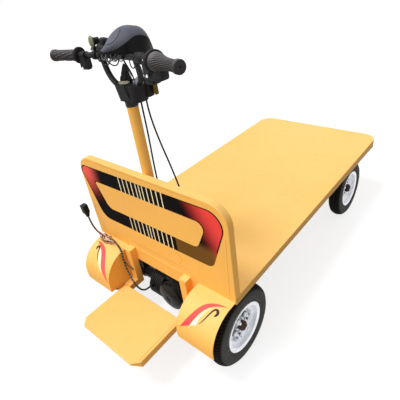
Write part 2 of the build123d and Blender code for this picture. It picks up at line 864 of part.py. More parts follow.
# Wheels: a pressed rim on its hub and a low-profile tyre
def wheel_plane(side, inset, axle_y):
    """A plane through the wheel's centre: local x points outwards, local y up."""
    wheel_x = side * (deck_width / 2 - inset)
    return Plane(origin=(wheel_x, axle_y, axle_z), x_dir=(side, 0, 0), z_dir=(0, -side, 0))


def rim_section():
    """Half the rim's section: flanges, bead seat, sunk web and hub with a blind bore."""
    half = rim_width / 2
    inside = bead_radius - rim_wall
    hub_back = -half + 10
    bore = spindle_radius + running_clearance
    with BuildLine() as section:
        Polyline(
            (web + nose_height, 0),
            (web + nose_height, nose_radius - 3),
            (web, nose_radius),
            (web, inside),
            (half - rim_wall, inside),
            (half - rim_wall, rim_flange - rim_wall),
            (half, rim_flange),
            (half - 1.5 * rim_wall, rim_flange),
            (half - 2 * rim_wall, bead_radius),
            (-half + 2 * rim_wall, bead_radius),
            (-half + 1.5 * rim_wall, rim_flange),
            (-half, rim_flange),
            (-half + rim_wall, inside),
            (web - rim_wall, inside),
            (web - rim_wall, hub_radius),
            (hub_back, hub_radius),
            (hub_back, bore),
            (web - rim_wall, bore),
            (web - rim_wall, 0),
            close=True,
        )
    return section.edges()


def tyre_section():
    """The tyre's section: crowned tread, round shoulders and bellied side walls."""
    half = tyre_width / 2
    bore = bead_radius + tyre_seat_gap
    bead = rim_width / 2 - 2 * rim_wall - tyre_seat_gap
    lip = rim_flange + 1
    belly = (lip + tyre_radius) / 2
    shoulder = (0.72 * half, tyre_radius - 9)
    with BuildLine() as section:
        Polyline((bead, lip), (bead, bore), (-bead, bore), (-bead, lip))
        ThreePointArc((-bead, lip), (-half, belly), (-shoulder[0], shoulder[1]))
        ThreePointArc((-shoulder[0], shoulder[1]), (0, tyre_radius), shoulder)
        ThreePointArc(shoulder, (half, belly), (bead, lip))
    return section.edges()


WHEELS = (
    # name, side, inset from the deck's edge, axle place
    ("rear_left", -1, rear_left_inset, rear_axle_y),
    ("rear_right", 1, rear_right_inset, rear_axle_y),
    ("front_left", -1, front_inset, front_axle_y),
    ("front_right", 1, front_inset, front_axle_y),
)
for wheel_name, side, inset, axle_y in WHEELS:
    plane = wheel_plane(side, inset, axle_y)
    spin = Axis(plane.origin, plane.x_dir)
    web_face = Plane(origin=plane.origin + plane.x_dir * web, x_dir=(0, 1, 0), z_dir=plane.x_dir)
    with BuildPart() as rim:
        with BuildSketch(plane):
            make_face(rim_section())
        revolve(axis=spin)
        if wheel_name.startswith("rear"):
            with BuildSketch(web_face):
                with PolarLocations(nose_radius + lobe_length / 2 - 2, lobe_count):
                    SlotOverall(lobe_length, lobe_width)
            extrude(amount=lobe_height)
        else:
            with BuildSketch(web_face):
                with PolarLocations(slot_circle, slot_count):
                    SlotOverall(slot_length, slot_width, rotation=90)
            extrude(amount=-2 * rim_wall, mode=Mode.SUBTRACT)
    save(rim, f"rim_{wheel_name}")
    with BuildPart() as tyre:
        with BuildSketch(plane):
            make_face(tyre_section())
        revolve(axis=spin)
    save(tyre, f"tyre_{wheel_name}")

# Control cables from the stem cover down to the deck
CABLES = (
    # name, points of the route
    ("control_cable_left", ((12, -578, 1161), (12, -578, 1105), (9, -575, 1000), (6, -577, 880),
                            (4, -575, 760), (5, -577, 640), (8, -578, 530), (8, -578, 416))),
    ("control_cable_right", ((45, -578, 1161), (45, -578, 1108), (62, -571, 1000), (92, -561, 880),
                             (117, -553, 760), (130, -548, 640), (132, -547, 530), (132, -547, 416))),
)
for cable_name, points in CABLES:
    spots, radii = rounded_route(points, 10 * cable_radius)
    with BuildPart() as cable:
        with BuildLine() as cable_path:
            FilletPolyline(*spots, radius=radii)
        with BuildSketch(Plane(origin=cable_path.line @ 0, z_dir=cable_path.line % 0)):
            Circle(cable_radius)
        sweep(path=cable_path.line)
    save(cable, cable_name)

# Charging lead: from the gland, past the left post, over the left fender and up to its plug
lead_points = (
    (gland_x, gland_end, gland_z),
    (gland_x, gland_end - 23, gland_z),
    (-78, -738, 217),
    (-93, -746, 221),
    (-118, -747, 229),
    (-145, -742, 238),
    (-169, -735, 250),
    (-187, -730, 268),
    (-198, -728, 295),
    (-202, -727, 327),
    (-203, -727, 360),
    (-203, -725, 391),
    (-212, -722, 405),
    (-227, -717, 413),
    (-253, -708, 408),
    (-283, -697, 402),
    (-316, -690, 401),
    (-351, -693, 401),
    (-386, -699, 406),
    (-416, -706, 424),
    (-431, -712, 456),
    (-437, -715, 492),
    (-440, -716, 524),
)
spots, radii = rounded_route(lead_points, 6 * lead_radius)
with BuildPart() as lead:
    with BuildLine() as lead_path:
        FilletPolyline(*spots, radius=radii)
    with BuildSketch(Plane(origin=lead_path.line @ 0, z_dir=lead_path.line % 0)):
        Circle(lead_radius)
    sweep(path=lead_path.line)
save(lead, "charging_lead")

plug_plane = Plane(origin=lead_path.line @ 1, z_dir=lead_path.line % 1)
with BuildPart() as plug:
    with BuildSketch(plug_plane):
        Circle(2 * lead_radius)
    with BuildSketch(plug_plane.offset(plug_neck)):
        RectangleRounded(*plug_neck_size, plug_corner)
    loft()
    with BuildSketch(plug_plane.offset(plug_neck)):
        RectangleRounded(*plug_body_size, plug_corner)
    extrude(amount=plug_body)
save(plug, "charging_plug")
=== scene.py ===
"""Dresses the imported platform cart: finishes, stripes, treads, wires and cords, camera and light."""
import json
import math

import bpy
import numpy as np
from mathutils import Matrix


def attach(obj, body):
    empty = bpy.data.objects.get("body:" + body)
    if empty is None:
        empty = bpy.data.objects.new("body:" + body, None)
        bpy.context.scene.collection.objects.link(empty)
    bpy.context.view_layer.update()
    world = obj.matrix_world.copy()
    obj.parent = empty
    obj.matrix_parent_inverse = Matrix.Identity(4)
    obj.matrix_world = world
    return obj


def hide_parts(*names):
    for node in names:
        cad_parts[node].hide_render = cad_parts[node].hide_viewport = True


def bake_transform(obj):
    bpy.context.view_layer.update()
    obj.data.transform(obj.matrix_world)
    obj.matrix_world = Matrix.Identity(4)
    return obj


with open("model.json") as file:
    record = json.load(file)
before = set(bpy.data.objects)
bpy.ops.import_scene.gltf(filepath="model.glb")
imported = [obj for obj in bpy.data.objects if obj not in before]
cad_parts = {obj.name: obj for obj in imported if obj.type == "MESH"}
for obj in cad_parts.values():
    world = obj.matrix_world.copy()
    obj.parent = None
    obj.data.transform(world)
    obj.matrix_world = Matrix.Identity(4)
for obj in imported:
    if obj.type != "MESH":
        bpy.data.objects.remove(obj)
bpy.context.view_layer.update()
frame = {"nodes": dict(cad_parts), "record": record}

# Shapes below are worked out in millimetres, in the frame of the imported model
MM = 0.001

# Camera, fitted to the photograph's 400 by 400 frame
IMAGE_SIZE = 400
FOCAL_PIXELS = 362.8
OPTICAL_CENTRE = (210.1, 179.3)
SENSOR_MM = 36.0
CAMERA_PLACE = (1.0912, -1.4236, 1.5682)
CAMERA_TURN_DEG = (59.189, 6.356, 38.818)

# Places on the cart
DECK_TOP = 416
PANEL_REAR = -667
DECAL_RISE = 0.4
COLUMN_Y = -613
BAR_Z = 1325
BAR_BEND = (100, -621)
BAR_SWEEP = math.radians(13)
FENDER_CENTRE = (-698, 255)
FENDER_RADIUS = 138
DECK_HALF = 450
DECK_FRONT = 1036
DECK_CORNER = 90
DECK_FOOT = 382
FOOTBOARD_TOP = 211
AXLE_Z = 188
REAR_AXLE = -616
FRONT_AXLE = 651
WHEELS = (
    # name, side, middle across the cart, axle along the cart
    ("rear_left", -1, -376, REAR_AXLE),
    ("rear_right", 1, 409, REAR_AXLE),
    ("front_left", -1, -386, FRONT_AXLE),
    ("front_right", 1, 386, FRONT_AXLE),
)


def screen(red, green, blue):
    """A colour given as screen bytes, made linear for a shader."""
    share = np.array([red, green, blue]) / 255
    linear = np.where(share <= 0.04045, share / 12.92, ((share + 0.055) / 1.055) ** 2.4)
    return (*linear.tolist(), 1.0)


# Shader nodes

def node(tree, kind, inputs=(), **settings):
    """One shader node; inputs gives each socket, by name or number, a value or another node's output."""
    made = tree.nodes.new("ShaderNode" + kind)
    for key, value in settings.items():
        setattr(made, key, value)
    for socket, value in dict(inputs).items():
        if isinstance(value, bpy.types.NodeSocket):
            tree.links.new(value, made.inputs[socket])
        else:
            made.inputs[socket].default_value = value
    return made


def calc(tree, operation, first, second=0.0):
    """The outcome of one operation on a value or two."""
    return node(tree, "Math", {0: first, 1: second}, operation=operation).outputs[0]


def times(tree, first, second):
    """The product of two values."""
    return calc(tree, "MULTIPLY", first, second)


def between(tree, value, low, high, to_low=0.0, to_high=1.0):
    """Carries a value from one range to another, smoothly and clamped at both ends."""
    inputs = {0: value, 1: low, 2: high, 3: to_low, 4: to_high}
    return node(tree, "MapRange", inputs, interpolation_type="SMOOTHSTEP").outputs[0]


def mixed(tree, share, first, second, blend_type="MIX"):
    """A blend of two colours."""
    made = node(tree, "Mix", {0: share, 6: first, 7: second}, data_type="RGBA", blend_type=blend_type)
    return made.outputs[2]


def object_place(tree, stretch=None):
    """Object coordinates, in metres, stretched along the axes where asked."""
    where = node(tree, "TexCoord").outputs["Object"]
    if stretch is None:
        return where
    return node(tree, "Mapping", {"Vector": where, "Scale": stretch}).outputs[0]


def noise(tree, where, scale, detail=3.0):
    """A cloudy value about a half."""
    return node(tree, "TexNoise", {"Vector": where, "Scale": scale, "Detail": detail}).outputs[0]


def parts_of(tree, vector):
    """The three parts of a vector."""
    return node(tree, "SeparateXYZ", {0: vector}).outputs


def uv_parts(tree):
    """The surface's own coordinates, part by part."""
    return parts_of(tree, node(tree, "TexCoord").outputs["UV"])


def shade_of(tree):
    """The shade that a piece's points carry."""
    return node(tree, "Attribute", attribute_name="shade").outputs["Fac"]


def seen_directly(tree):
    """One for rays from the camera, in reflections and through clear pieces, and otherwise nothing."""
    path = node(tree, "LightPath").outputs
    mirrored = calc(tree, "MAXIMUM", path["Is Glossy Ray"], path["Is Transmission Ray"])
    return calc(tree, "MAXIMUM", path["Is Camera Ray"], mirrored)


def new_group(name, inputs, outputs):
    """An empty shader node group with its sockets, and the nodes that carry them."""
    tree = bpy.data.node_groups.new(name, "ShaderNodeTree")
    for label, kind, value in inputs:
        tree.interface.new_socket(label, in_out="INPUT", socket_type=kind).default_value = value
    for label, kind in outputs:
        tree.interface.new_socket(label, in_out="OUTPUT", socket_type=kind)
    return tree, tree.nodes.new("NodeGroupInput").outputs, tree.nodes.new("NodeGroupOutput").inputs


COLOUR, VALUE = "NodeSocketColor", "NodeSocketFloat"


def build_weather_group():
    """The dust colour comes in on faces that look up and in cloudy patches, over fine grain; on the yellow
    paint that colour on faces that look up is painted light from above."""
    tree, given, out = new_group(
        "weather",
        [("Clean", COLOUR, (0.5, 0.5, 0.5, 1)), ("Dust", COLOUR, (0.6, 0.6, 0.6, 1)),
         ("Amount", VALUE, 0.5), ("Upward share", VALUE, 1.0), ("Patch scale", VALUE, 4.0),
         ("Grain scale", VALUE, 300.0), ("Smooth", VALUE, 0.4), ("Rough", VALUE, 0.6)],
        [("Color", COLOUR), ("Roughness", VALUE), ("Height", VALUE)])
    where = object_place(tree)
    upward = parts_of(tree, node(tree, "NewGeometry").outputs["Normal"])[2]
    facing = between(tree, upward, 0.1, 0.95)
    # faces that look up take the second colour: dust, and on the yellow paint painted light from above
    level = node(tree, "Mix", {0: given["Upward share"], 2: 1.0, 3: facing}).outputs[0]
    patch = noise(tree, where, given["Patch scale"], 5.0)
    cloudy = between(tree, patch, 0.25, 0.75, 0.72, 1.12)
    dusty = times(tree, times(tree, level, cloudy), given["Amount"])
    grain = noise(tree, where, given["Grain scale"], 2.0)
    tone = between(tree, patch, 0.2, 0.8, 0.94, 1.04)
    speck = between(tree, grain, 0.3, 0.7, 0.96, 1.04)
    tinted = mixed(tree, 1.0, given["Clean"], times(tree, tone, speck), "MULTIPLY")
    covered = mixed(tree, node(tree, "Clamp", {0: dusty}).outputs[0], tinted, given["Dust"])
    tree.links.new(covered, out["Color"])
    rough = node(tree, "MapRange", {0: grain, 1: 0.25, 2: 0.75, 3: given["Smooth"], 4: given["Rough"]})
    tree.links.new(rough.outputs[0], out["Roughness"])
    tree.links.new(grain, out["Height"])
    return tree


def build_runs_group():
    """Faint dirt runs: noise drawn out along the height, as a mask."""
    tree, given, out = new_group(
        "dirt_runs", [("Across scale", VALUE, 40.0), ("Share", VALUE, 0.3)], [("Mask", VALUE)])
    where = object_place(tree, (1.0, 1.0, 0.06))
    streak = noise(tree, where, given["Across scale"], 6.0)
    tree.links.new(times(tree, between(tree, streak, 0.52, 0.74), given["Share"]), out["Mask"])
    return tree


def build_scuff_group():
    """Scuffs: thin crossing lines of stretched noise, as a mask."""
    tree, given, out = new_group(
        "scuffs", [("Scale", VALUE, 30.0), ("Share", VALUE, 0.3)], [("Mask", VALUE)])
    along = noise(tree, object_place(tree, (0.12, 1.0, 1.0)), given["Scale"], 4.0)
    across = noise(tree, object_place(tree, (1.0, 0.1, 1.0)), given["Scale"], 4.0)
    line = calc(tree, "MAXIMUM", between(tree, along, 0.64, 0.7), between(tree, across, 0.66, 0.72))
    tree.links.new(times(tree, line, given["Share"]), out["Mask"])
    return tree


WEATHER = build_weather_group()
DIRT_RUNS = build_runs_group()
SCUFFS = build_scuff_group()


def new_material(name, **plain):
    """A material with one Principled shader; plain sets its even values by socket name, with _ for a
    space."""
    material = bpy.data.materials.new(name)
    material.use_nodes = True
    tree = material.node_tree
    shader = tree.nodes["Principled BSDF"]
    for label, value in plain.items():
        shader.inputs[label.replace("_", " ")].default_value = value
    return material, tree, shader


def place_group(tree, group, **values):
    """A group in a material with its own values, with _ for a space in a socket's name."""
    made = tree.nodes.new("ShaderNodeGroup")
    made.node_tree = group
    for label, value in values.items():
        socket = made.inputs[label.replace("_", " ")]
        if isinstance(value, bpy.types.NodeSocket):
            tree.links.new(value, socket)
        else:
            socket.default_value = value
    return made.outputs


def raise_bumps(tree, shader, height, strength, distance=0.001):
    """Feeds a height to the shader's normal."""
    bump = node(tree, "Bump", {"Height": height, "Strength": strength, "Distance": distance})
    tree.links.new(bump.outputs[0], shader.inputs["Normal"])


def weather_over(tree, shader, clean, dust, amount, **values):
    """The weather group over a clean colour, fed to the shader's colour and roughness."""
    # the dust colour on faces that look up is, on the yellow paint, painted light from above
    made = place_group(tree, WEATHER, Clean=clean, Dust=dust, Amount=amount, **values)
    tree.links.new(made["Color"], shader.inputs["Base Color"])
    tree.links.new(made["Roughness"], shader.inputs["Roughness"])
    return made


def weathered(name, clean, dust, amount, relief, upward, patch, grain, smooth, rough, specular, metallic,
              dark=None):
    """A material that weathers: clean colour, a second colour for dust, grain and a little relief; on the
    stem bracket both colours are painted shade. Dark fills the points that carry a shade."""
    material, tree, shader = new_material(name, Specular_IOR_Level=specular, Metallic=metallic)
    made = weather_over(tree, shader, screen(*clean), screen(*dust), amount, Upward_share=upward,
                        Patch_scale=patch, Grain_scale=grain, Smooth=smooth, Rough=rough)
    if dark is not None:
        shaded = mixed(tree, shade_of(tree), made["Color"], screen(*dark))
        tree.links.new(shaded, shader.inputs["Base Color"])
    raise_bumps(tree, shader, made["Height"], relief)
    return material


# Where the finishes change: places in metres, or shares of the way along or across a piece
# painted shade along the deck's long edges: the band's places across the cart, then the heights over which it
# fades out toward the deck's top
EDGE_SHADE_BAND = ((DECK_HALF - 2.2) * MM, (DECK_HALF - 0.8) * MM)
EDGE_SHADE_TOP = ((DECK_TOP - 2) * MM, DECK_TOP * MM)
RED_LEFT = ((-0.400, -0.290), (0.600, 0.790))
RED_RIGHT = (0.262, 0.420)
RED_LEVEL, RED_LEAN = 0.72, 0.6
BROWN_LOWER = ((0.154, 0.162), (0.605, 0.655))
FILM_BORDERS = ((0.05, 0.08), (0.93, 0.955))
TYRE_WALL = (0.23, 0.30)
WALL_LINES = 240
# painted shade on the rear rims' webs: distances from the rear axle in metres over which it fades out
WEB_SHADE_EDGE = (0.074, 0.086)
LEAD_TWISTS = 34
LEAD_DASHES = ((0.18, 0.24), (0.52, 0.60))
LEAD_BROWN = (0.62, 0.80)


def yellow_paint():
    """Yellow paint, paler where it looks up, which is painted light from above, with faint runs, scuffs and a
    slight orange peel, and a band of painted shade along the deck's long edges."""
    material, tree, shader = new_material("yellow_paint", Specular_IOR_Level=0.12)
    # the second colour, on faces that look up, is painted light from above
    made = weather_over(tree, shader, screen(255, 190, 92), screen(252, 206, 124), 0.9, Patch_scale=1.6,
                        Grain_scale=700.0, Smooth=0.42, Rough=0.6)
    runs = place_group(tree, DIRT_RUNS, Across_scale=26.0, Share=0.1)["Mask"]
    scuff = place_group(tree, SCUFFS, Scale=22.0, Share=0.04)["Mask"]
    soiled = mixed(tree, runs, made["Color"], screen(226, 158, 66))
    worn = mixed(tree, scuff, soiled, screen(232, 182, 98))
    axes = parts_of(tree, object_place(tree))
    # painted shade: the deck's long edges darkened toward a dark olive below its top
    outer = between(tree, calc(tree, "ABSOLUTE", axes[0]), *EDGE_SHADE_BAND, 0.0, 0.3)
    edge = times(tree, outer, between(tree, axes[2], *EDGE_SHADE_TOP, 1, 0))
    tree.links.new(mixed(tree, edge, worn, screen(74, 66, 14)), shader.inputs["Base Color"])
    raise_bumps(tree, shader, made["Height"], 0.05)
    return material


def decal_film():
    """The panel's ring: black film, red at its two ends, brown along its lower right, black along both
    borders."""
    material, tree, shader = new_material("decal_film", Specular_IOR_Level=0.04)
    axes = parts_of(tree, object_place(tree))
    x, z = axes[0], axes[2]
    left = times(tree, between(tree, x, *RED_LEFT[0], 1, 0), between(tree, z, *RED_LEFT[1]))
    slant = calc(tree, "ADD", x, times(tree, calc(tree, "SUBTRACT", z, RED_LEVEL), RED_LEAN))
    right = between(tree, slant, *RED_RIGHT)
    brown = times(tree, between(tree, x, *BROWN_LOWER[0]), between(tree, z, *BROWN_LOWER[1], 1, 0))
    film = mixed(tree, brown, screen(9, 8, 9), screen(114, 78, 31))
    film = mixed(tree, right, film, screen(254, 76, 69))
    film = mixed(tree, left, film, screen(250, 102, 88))
    across = uv_parts(tree)[1]
    border = calc(tree, "MAXIMUM", between(tree, across, *FILM_BORDERS[0], 1, 0),
                  between(tree, across, *FILM_BORDERS[1]))
    border = times(tree, border, between(tree, brown, 0.2, 0.9, 1, 0))
    film = mixed(tree, border, film, screen(18, 14, 14))
    weather_over(tree, shader, film, screen(190, 170, 150), 0.003, Upward_share=0.0, Patch_scale=6.0,
                 Grain_scale=500.0, Smooth=0.7, Rough=0.85)
    return material


def stripe_film(name, colour, far_colour):
    """A stripe on a fender: one colour that changes a little along its length, with fine grain."""
    material, tree, shader = new_material(name, Specular_IOR_Level=0.1)
    shaded = mixed(tree, uv_parts(tree)[0], colour, far_colour)
    weather_over(tree, shader, shaded, screen(255, 200, 170), 0.04, Patch_scale=9.0, Grain_scale=500.0)
    return material


def tyre_rubber():
    """Rubber: black tread with painted shade in its cuts, and grey side walls with fine radial lines."""
    material, tree, shader = new_material("tyre_rubber", Specular_IOR_Level=0.08)
    uv = uv_parts(tree)
    wall = between(tree, calc(tree, "ABSOLUTE", calc(tree, "SUBTRACT", uv[1], 0.5)), *TYRE_WALL)
    made = weather_over(tree, shader, screen(14, 13, 12), screen(60, 54, 48), 0.08, Upward_share=0.0,
                        Patch_scale=16.0, Grain_scale=260.0, Smooth=0.6, Rough=0.85)
    side = place_group(tree, WEATHER, Clean=screen(58, 58, 58), Dust=screen(104, 103, 98), Amount=0.5,
                       Upward_share=0.0, Patch_scale=13.0, Grain_scale=300.0, Smooth=0.6, Rough=0.85)
    # painted shade: the tread darkens to near black where its points carry the cuts' depth
    tread = mixed(tree, shade_of(tree), made["Color"], screen(4, 4, 4))
    tree.links.new(mixed(tree, wall, tread, side["Color"]), shader.inputs["Base Color"])
    lines = calc(tree, "SINE", times(tree, uv[0], 2 * math.pi * WALL_LINES))
    relief = calc(tree, "ADD", times(tree, times(tree, lines, wall), 0.4), made["Height"])
    raise_bumps(tree, shader, relief, 0.35, 0.0008)
    return material


def rim_silver():
    """Bright silver paint on pressed steel, with a little brake dust; the rear wheels' webs, found by their
    distance from the rear axle's line, are painted a duller grey as shade in the wheel's dish."""
    material, tree, shader = new_material("rim_silver", Metallic=0.9)
    axes = parts_of(tree, object_place(tree))
    along = calc(tree, "SUBTRACT", axes[1], REAR_AXLE * MM)
    up = calc(tree, "SUBTRACT", axes[2], AXLE_Z * MM)
    far = calc(tree, "SQRT", calc(tree, "ADD", times(tree, along, along), times(tree, up, up)))
    # painted shade: the rear rims' webs, near the axle, a duller grey than the bright barrel
    web_shade = between(tree, far, *WEB_SHADE_EDGE, 1, 0)
    silver = mixed(tree, web_shade, screen(250, 251, 255), screen(206, 209, 214))
    made = weather_over(tree, shader, silver, screen(190, 188, 190), 0.12, Upward_share=0.0,
                        Patch_scale=22.0, Grain_scale=420.0, Smooth=0.34, Rough=0.46)
    raise_bumps(tree, shader, made["Height"], 0.015)
    return material


def hood_plastic():
    """Dusty blue-grey moulded plastic with a fine leathery grain."""
    material, tree, shader = new_material("hood_plastic", Specular_IOR_Level=0.16)
    weather_over(tree, shader, screen(54, 54, 58), screen(104, 106, 120), 0.8, Patch_scale=18.0,
                 Grain_scale=300.0, Smooth=0.42, Rough=0.62)
    cells = node(tree, "TexVoronoi", {"Vector": object_place(tree), "Scale": 260.0}).outputs["Distance"]
    raise_bumps(tree, shader, cells, 0.6, 0.0012)
    return material


def clear_plastic():
    """Clear plastic with a faint tint, for the lens and the cover in the tub."""
    material, tree, shader = new_material("clear_plastic", Transmission_Weight=0.6, IOR=1.46)
    weather_over(tree, shader, screen(190, 192, 200), screen(150, 150, 156), 0.4, Patch_scale=40.0,
                 Grain_scale=600.0, Smooth=0.12, Rough=0.3)
    return material


def lead_sheath():
    """The lead's dark sheath, with pale twisted dashes along its middle stretch, and browner toward its
    plug."""
    material, tree, shader = new_material("lead_sheath", Specular_IOR_Level=0.15)
    uv = uv_parts(tree)
    around, along = uv[0], uv[1]
    twist = calc(tree, "ADD", around, times(tree, along, LEAD_TWISTS))
    dash = between(tree, calc(tree, "SINE", times(tree, twist, 2 * math.pi)), 0.1, 0.5)
    stretch = times(tree, between(tree, along, *LEAD_DASHES[0]), between(tree, along, *LEAD_DASHES[1], 1, 0))
    brown = mixed(tree, between(tree, along, *LEAD_BROWN), screen(34, 31, 30), screen(96, 74, 54))
    striped = mixed(tree, times(tree, dash, stretch), brown, screen(148, 136, 112))
    weather_over(tree, shader, striped, screen(140, 124, 104), 0.1, Patch_scale=40.0)
    return material


PLAIN_FINISHES = {
    # finish: material, clean and dust as screen bytes, dust's amount, relief, share of dust by facing up,
    # patch and grain scale, least and most roughness, specular level, metallic share
    "line": ("line_yellow", (255, 236, 186), (255, 240, 196), 0.3, 0.03, 1, 4, 300, 0.4, 0.6, 0.1, 0),
    # a darker yellow for the pressed fold lines: painted shade in the folds
    "fold_shade": ("seam_shade", (206, 142, 62), (210, 154, 76), 0.6, 0.03, 1, 4, 300, 0.4, 0.6, 0.1, 0),
    "plastic": ("black_plastic", (22, 21, 22), (58, 56, 58), 0.4, 0.3, 1, 16, 600, 0.45, 0.7, 0.18, 0),
    "lower_hood": ("lower_hood", (24, 25, 26), (36, 36, 37), 0.3, 0.3, 1, 16, 800, 0.5, 0.7, 0.12, 0),
    "display": ("display_plastic", (66, 66, 72), (102, 103, 118), 0.7, 0.6, 1, 40, 420, 0.35, 0.55, 0.2, 0),
    "grip": ("grip_rubber", (72, 69, 69), (124, 119, 120), 0.85, 0.3, 1, 20, 900, 0.6, 0.85, 0.12, 0),
    "black_steel": ("black_steel", (20, 19, 21), (56, 54, 56), 0.5, 0.1, 1, 9, 500, 0.3, 0.5, 0.25, 0),
    "cast": ("cast_black", (18, 18, 18), (44, 43, 43), 0.5, 0.5, 1, 14, 360, 0.3, 0.5, 0.16, 0),
    "zinc": ("zinc_steel", (232, 234, 238), (190, 186, 180), 0.2, 0.05, 1, 20, 500, 0.18, 0.38, 0.5, 0.9),
    "brass": ("bell_brass", (108, 106, 80), (146, 142, 112), 0.5, 0.12, 0.4, 60, 700, 0.35, 0.55, 0.25, 0.3),
    "battery": ("battery_case", (30, 30, 32), (70, 68, 66), 0.6, 0.3, 1, 6, 400, 0.45, 0.65, 0.2, 0),
    "cord": ("cord_black", (18, 17, 18), (44, 42, 42), 0.35, 0.15, 1, 30, 500, 0.4, 0.6, 0.2, 0),
    # the stem bracket is yellow paint shown olive with near-black patches: painted shade
    "bracket_painted_shade": ("bracket_shade_olive", (150, 116, 28), (30, 28, 20), 0.55, 0.3, 0, 60, 400, 0.4, 0.6, 0.15, 0),
    "hub_brown": ("hub_brown", (40, 30, 26), (92, 70, 54), 0.5, 0.5, 0, 60, 300, 0.5, 0.75, 0.2, 0),
    "rim_shade": ("rim_shade", (52, 52, 54), (40, 38, 38), 0.5, 0.1, 0, 30, 300, 0.4, 0.6, 0.3, 0),
    "connector": ("connector_cream", (206, 198, 172), (150, 142, 124), 0.5, 0.3, 1, 60, 300, 0.4, 0.6, 0.2,
                  0),
    "wire_brown": ("wire_brown", (132, 80, 54), (176, 128, 98), 0.5, 0.1, 1, 50, 300, 0.4, 0.6, 0.5, 0),
    "wire_white": ("wire_white", (238, 226, 214), (214, 200, 186), 0.4, 0.1, 1, 50, 300, 0.4, 0.6, 0.5, 0),
    "wire_clear": ("wire_clear", (82, 80, 79), (126, 124, 120), 0.5, 0.1, 1, 50, 300, 0.4, 0.6, 0.5, 0),
    "wire_red": ("wire_red", (176, 84, 66), (206, 128, 108), 0.5, 0.1, 1, 50, 300, 0.4, 0.6, 0.5, 0),
    "wire_olive": ("wire_olive", (104, 92, 58), (150, 136, 100), 0.5, 0.1, 1, 50, 300, 0.4, 0.6, 0.5, 0),
}
SHADE_COLOURS = {"grip": (20, 19, 20)}
FINISH = {
    "yellow": yellow_paint(),
    "film": decal_film(),
    "red": stripe_film("stripe_red", screen(240, 78, 80), screen(246, 100, 98)),
    "cream": stripe_film("stripe_cream", screen(255, 250, 232), screen(255, 226, 150)),
    "ink": stripe_film("stripe_ink", screen(62, 48, 36), screen(30, 26, 24)),
    "tyre": tyre_rubber(),
    "rim": rim_silver(),
    "hood": hood_plastic(),
    "clear": clear_plastic(),
    "lead": lead_sheath(),
}
for plain_finish, plain_row in PLAIN_FINISHES.items():
    FINISH[plain_finish] = weathered(*plain_row, dark=SHADE_COLOURS.get(plain_finish))
# the stem bracket's finish paints shade over its yellow
NODE_FINISH = {"stem_bracket": "bracket_painted_shade"}
SLOT_FINISHES = {
    # the record's slot: the finish of its CAD nodes, then the other finishes of its pieces
    "yellow_paint": ("yellow", "film", "line", "fold_shade", "red", "cream", "ink"),
    "black_steel": ("black_steel",),
    "rim_silver": ("rim",),
    "tyre_rubber": ("tyre",),
    "grip_rubber": ("grip",),
    "black_plastic": ("plastic", "hood", "lower_hood", "clear", "connector"),
    "display_plastic": ("display",),
    "cast_black": ("cast", "hub_brown"),
    "zinc_steel": ("zinc", "rim_shade"),
    "bell_brass": ("brass",),
    "battery_case": ("battery",),
    "cord_black": ("cord", "lead", "wire_brown", "wire_white", "wire_clear", "wire_red", "wire_olive"),
}


def finish_nodes():
    """Every CAD node gets the finish of its record slot, or its own."""
    for part in frame["record"]["subparts"]:
        shown = frame["nodes"][part["node"]]
        finish = FINISH[NODE_FINISH.get(part["node"], SLOT_FINISHES[part["material_slot"]][0])]
        if not shown.material_slots:
            shown.data.materials.append(finish)
        for slot in shown.material_slots:
            slot.material = finish


# Surfaces

def grid_quads(rows, columns, wrap_rows=False, wrap_columns=False):
    """Quads between neighbouring rows and columns of a grid, closed round where a direction wraps. They face
    outward where the columns turn to the left as the rows go on."""
    row, column = np.meshgrid(np.arange(rows if wrap_rows else rows - 1),
                              np.arange(columns if wrap_columns else columns - 1), indexing="ij")
    next_row, next_column = (row + 1) % rows, (column + 1) % columns
    corners = (row * columns + column, row * columns + next_column,
               next_row * columns + next_column, next_row * columns + column)
    return np.stack(corners, axis=-1).reshape(-1, 4)


def add_piece(name, points, faces, finish, body, uv=None, smooth=True, shade=None):
    """Puts points in millimetres and faces into a mesh object with its finish, riding on a body where one is
    given; uv and shade go by point."""
    mesh = bpy.data.meshes.new(name)
    spots = np.asarray(points, float).reshape(-1, 3) * MM
    faces = [list(face) for face in faces]
    mesh.from_pydata(spots.tolist(), [], faces)
    mesh.polygons.foreach_set("use_smooth", np.full(len(mesh.polygons), smooth))
    if uv is not None:
        layer = mesh.uv_layers.new(name="UVMap")
        corner = np.empty(len(mesh.loops), np.int32)
        mesh.loops.foreach_get("vertex_index", corner)
        layer.data.foreach_set("uv", np.asarray(uv, np.float32).reshape(-1, 2)[corner].ravel())
    if shade is not None:
        layer = mesh.attributes.new("shade", "FLOAT", "POINT")
        layer.data.foreach_set("value", np.asarray(shade, np.float32).ravel())
    mesh.materials.append(FINISH[finish])
    mesh.update()
    shown = bpy.data.objects.new(name, mesh)
    bpy.context.scene.collection.objects.link(shown)
    if body is not None:
        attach(shown, body)
    return shown


def add_grid(name, points, finish, body, wrap=False, caps=False, flip=False, smooth=True, shade=None):
    """A grid of points as one surface: its rows closed round, each end row capped and its faces turned over
    where asked."""
    rows, columns = points.shape[:2]
    faces = grid_quads(rows, columns, wrap_columns=wrap).tolist()
    if caps:
        faces.append(list(range(columns))[::-1])
        faces.append(list(range((rows - 1) * columns, rows * columns)))
    if flip:
        faces = [face[::-1] for face in faces]
    v, u = np.meshgrid(np.linspace(0, 1, rows), np.linspace(0, 1, columns), indexing="ij")
    return add_piece(name, points, faces, finish, body, np.stack([u, v], axis=-1), smooth, shade)


def add_closed(name, rings, finish, body, **looks):
    """Rings of points as one closed piece, with a cap at each end."""
    return add_grid(name, rings, finish, body, wrap=True, caps=True, **looks)


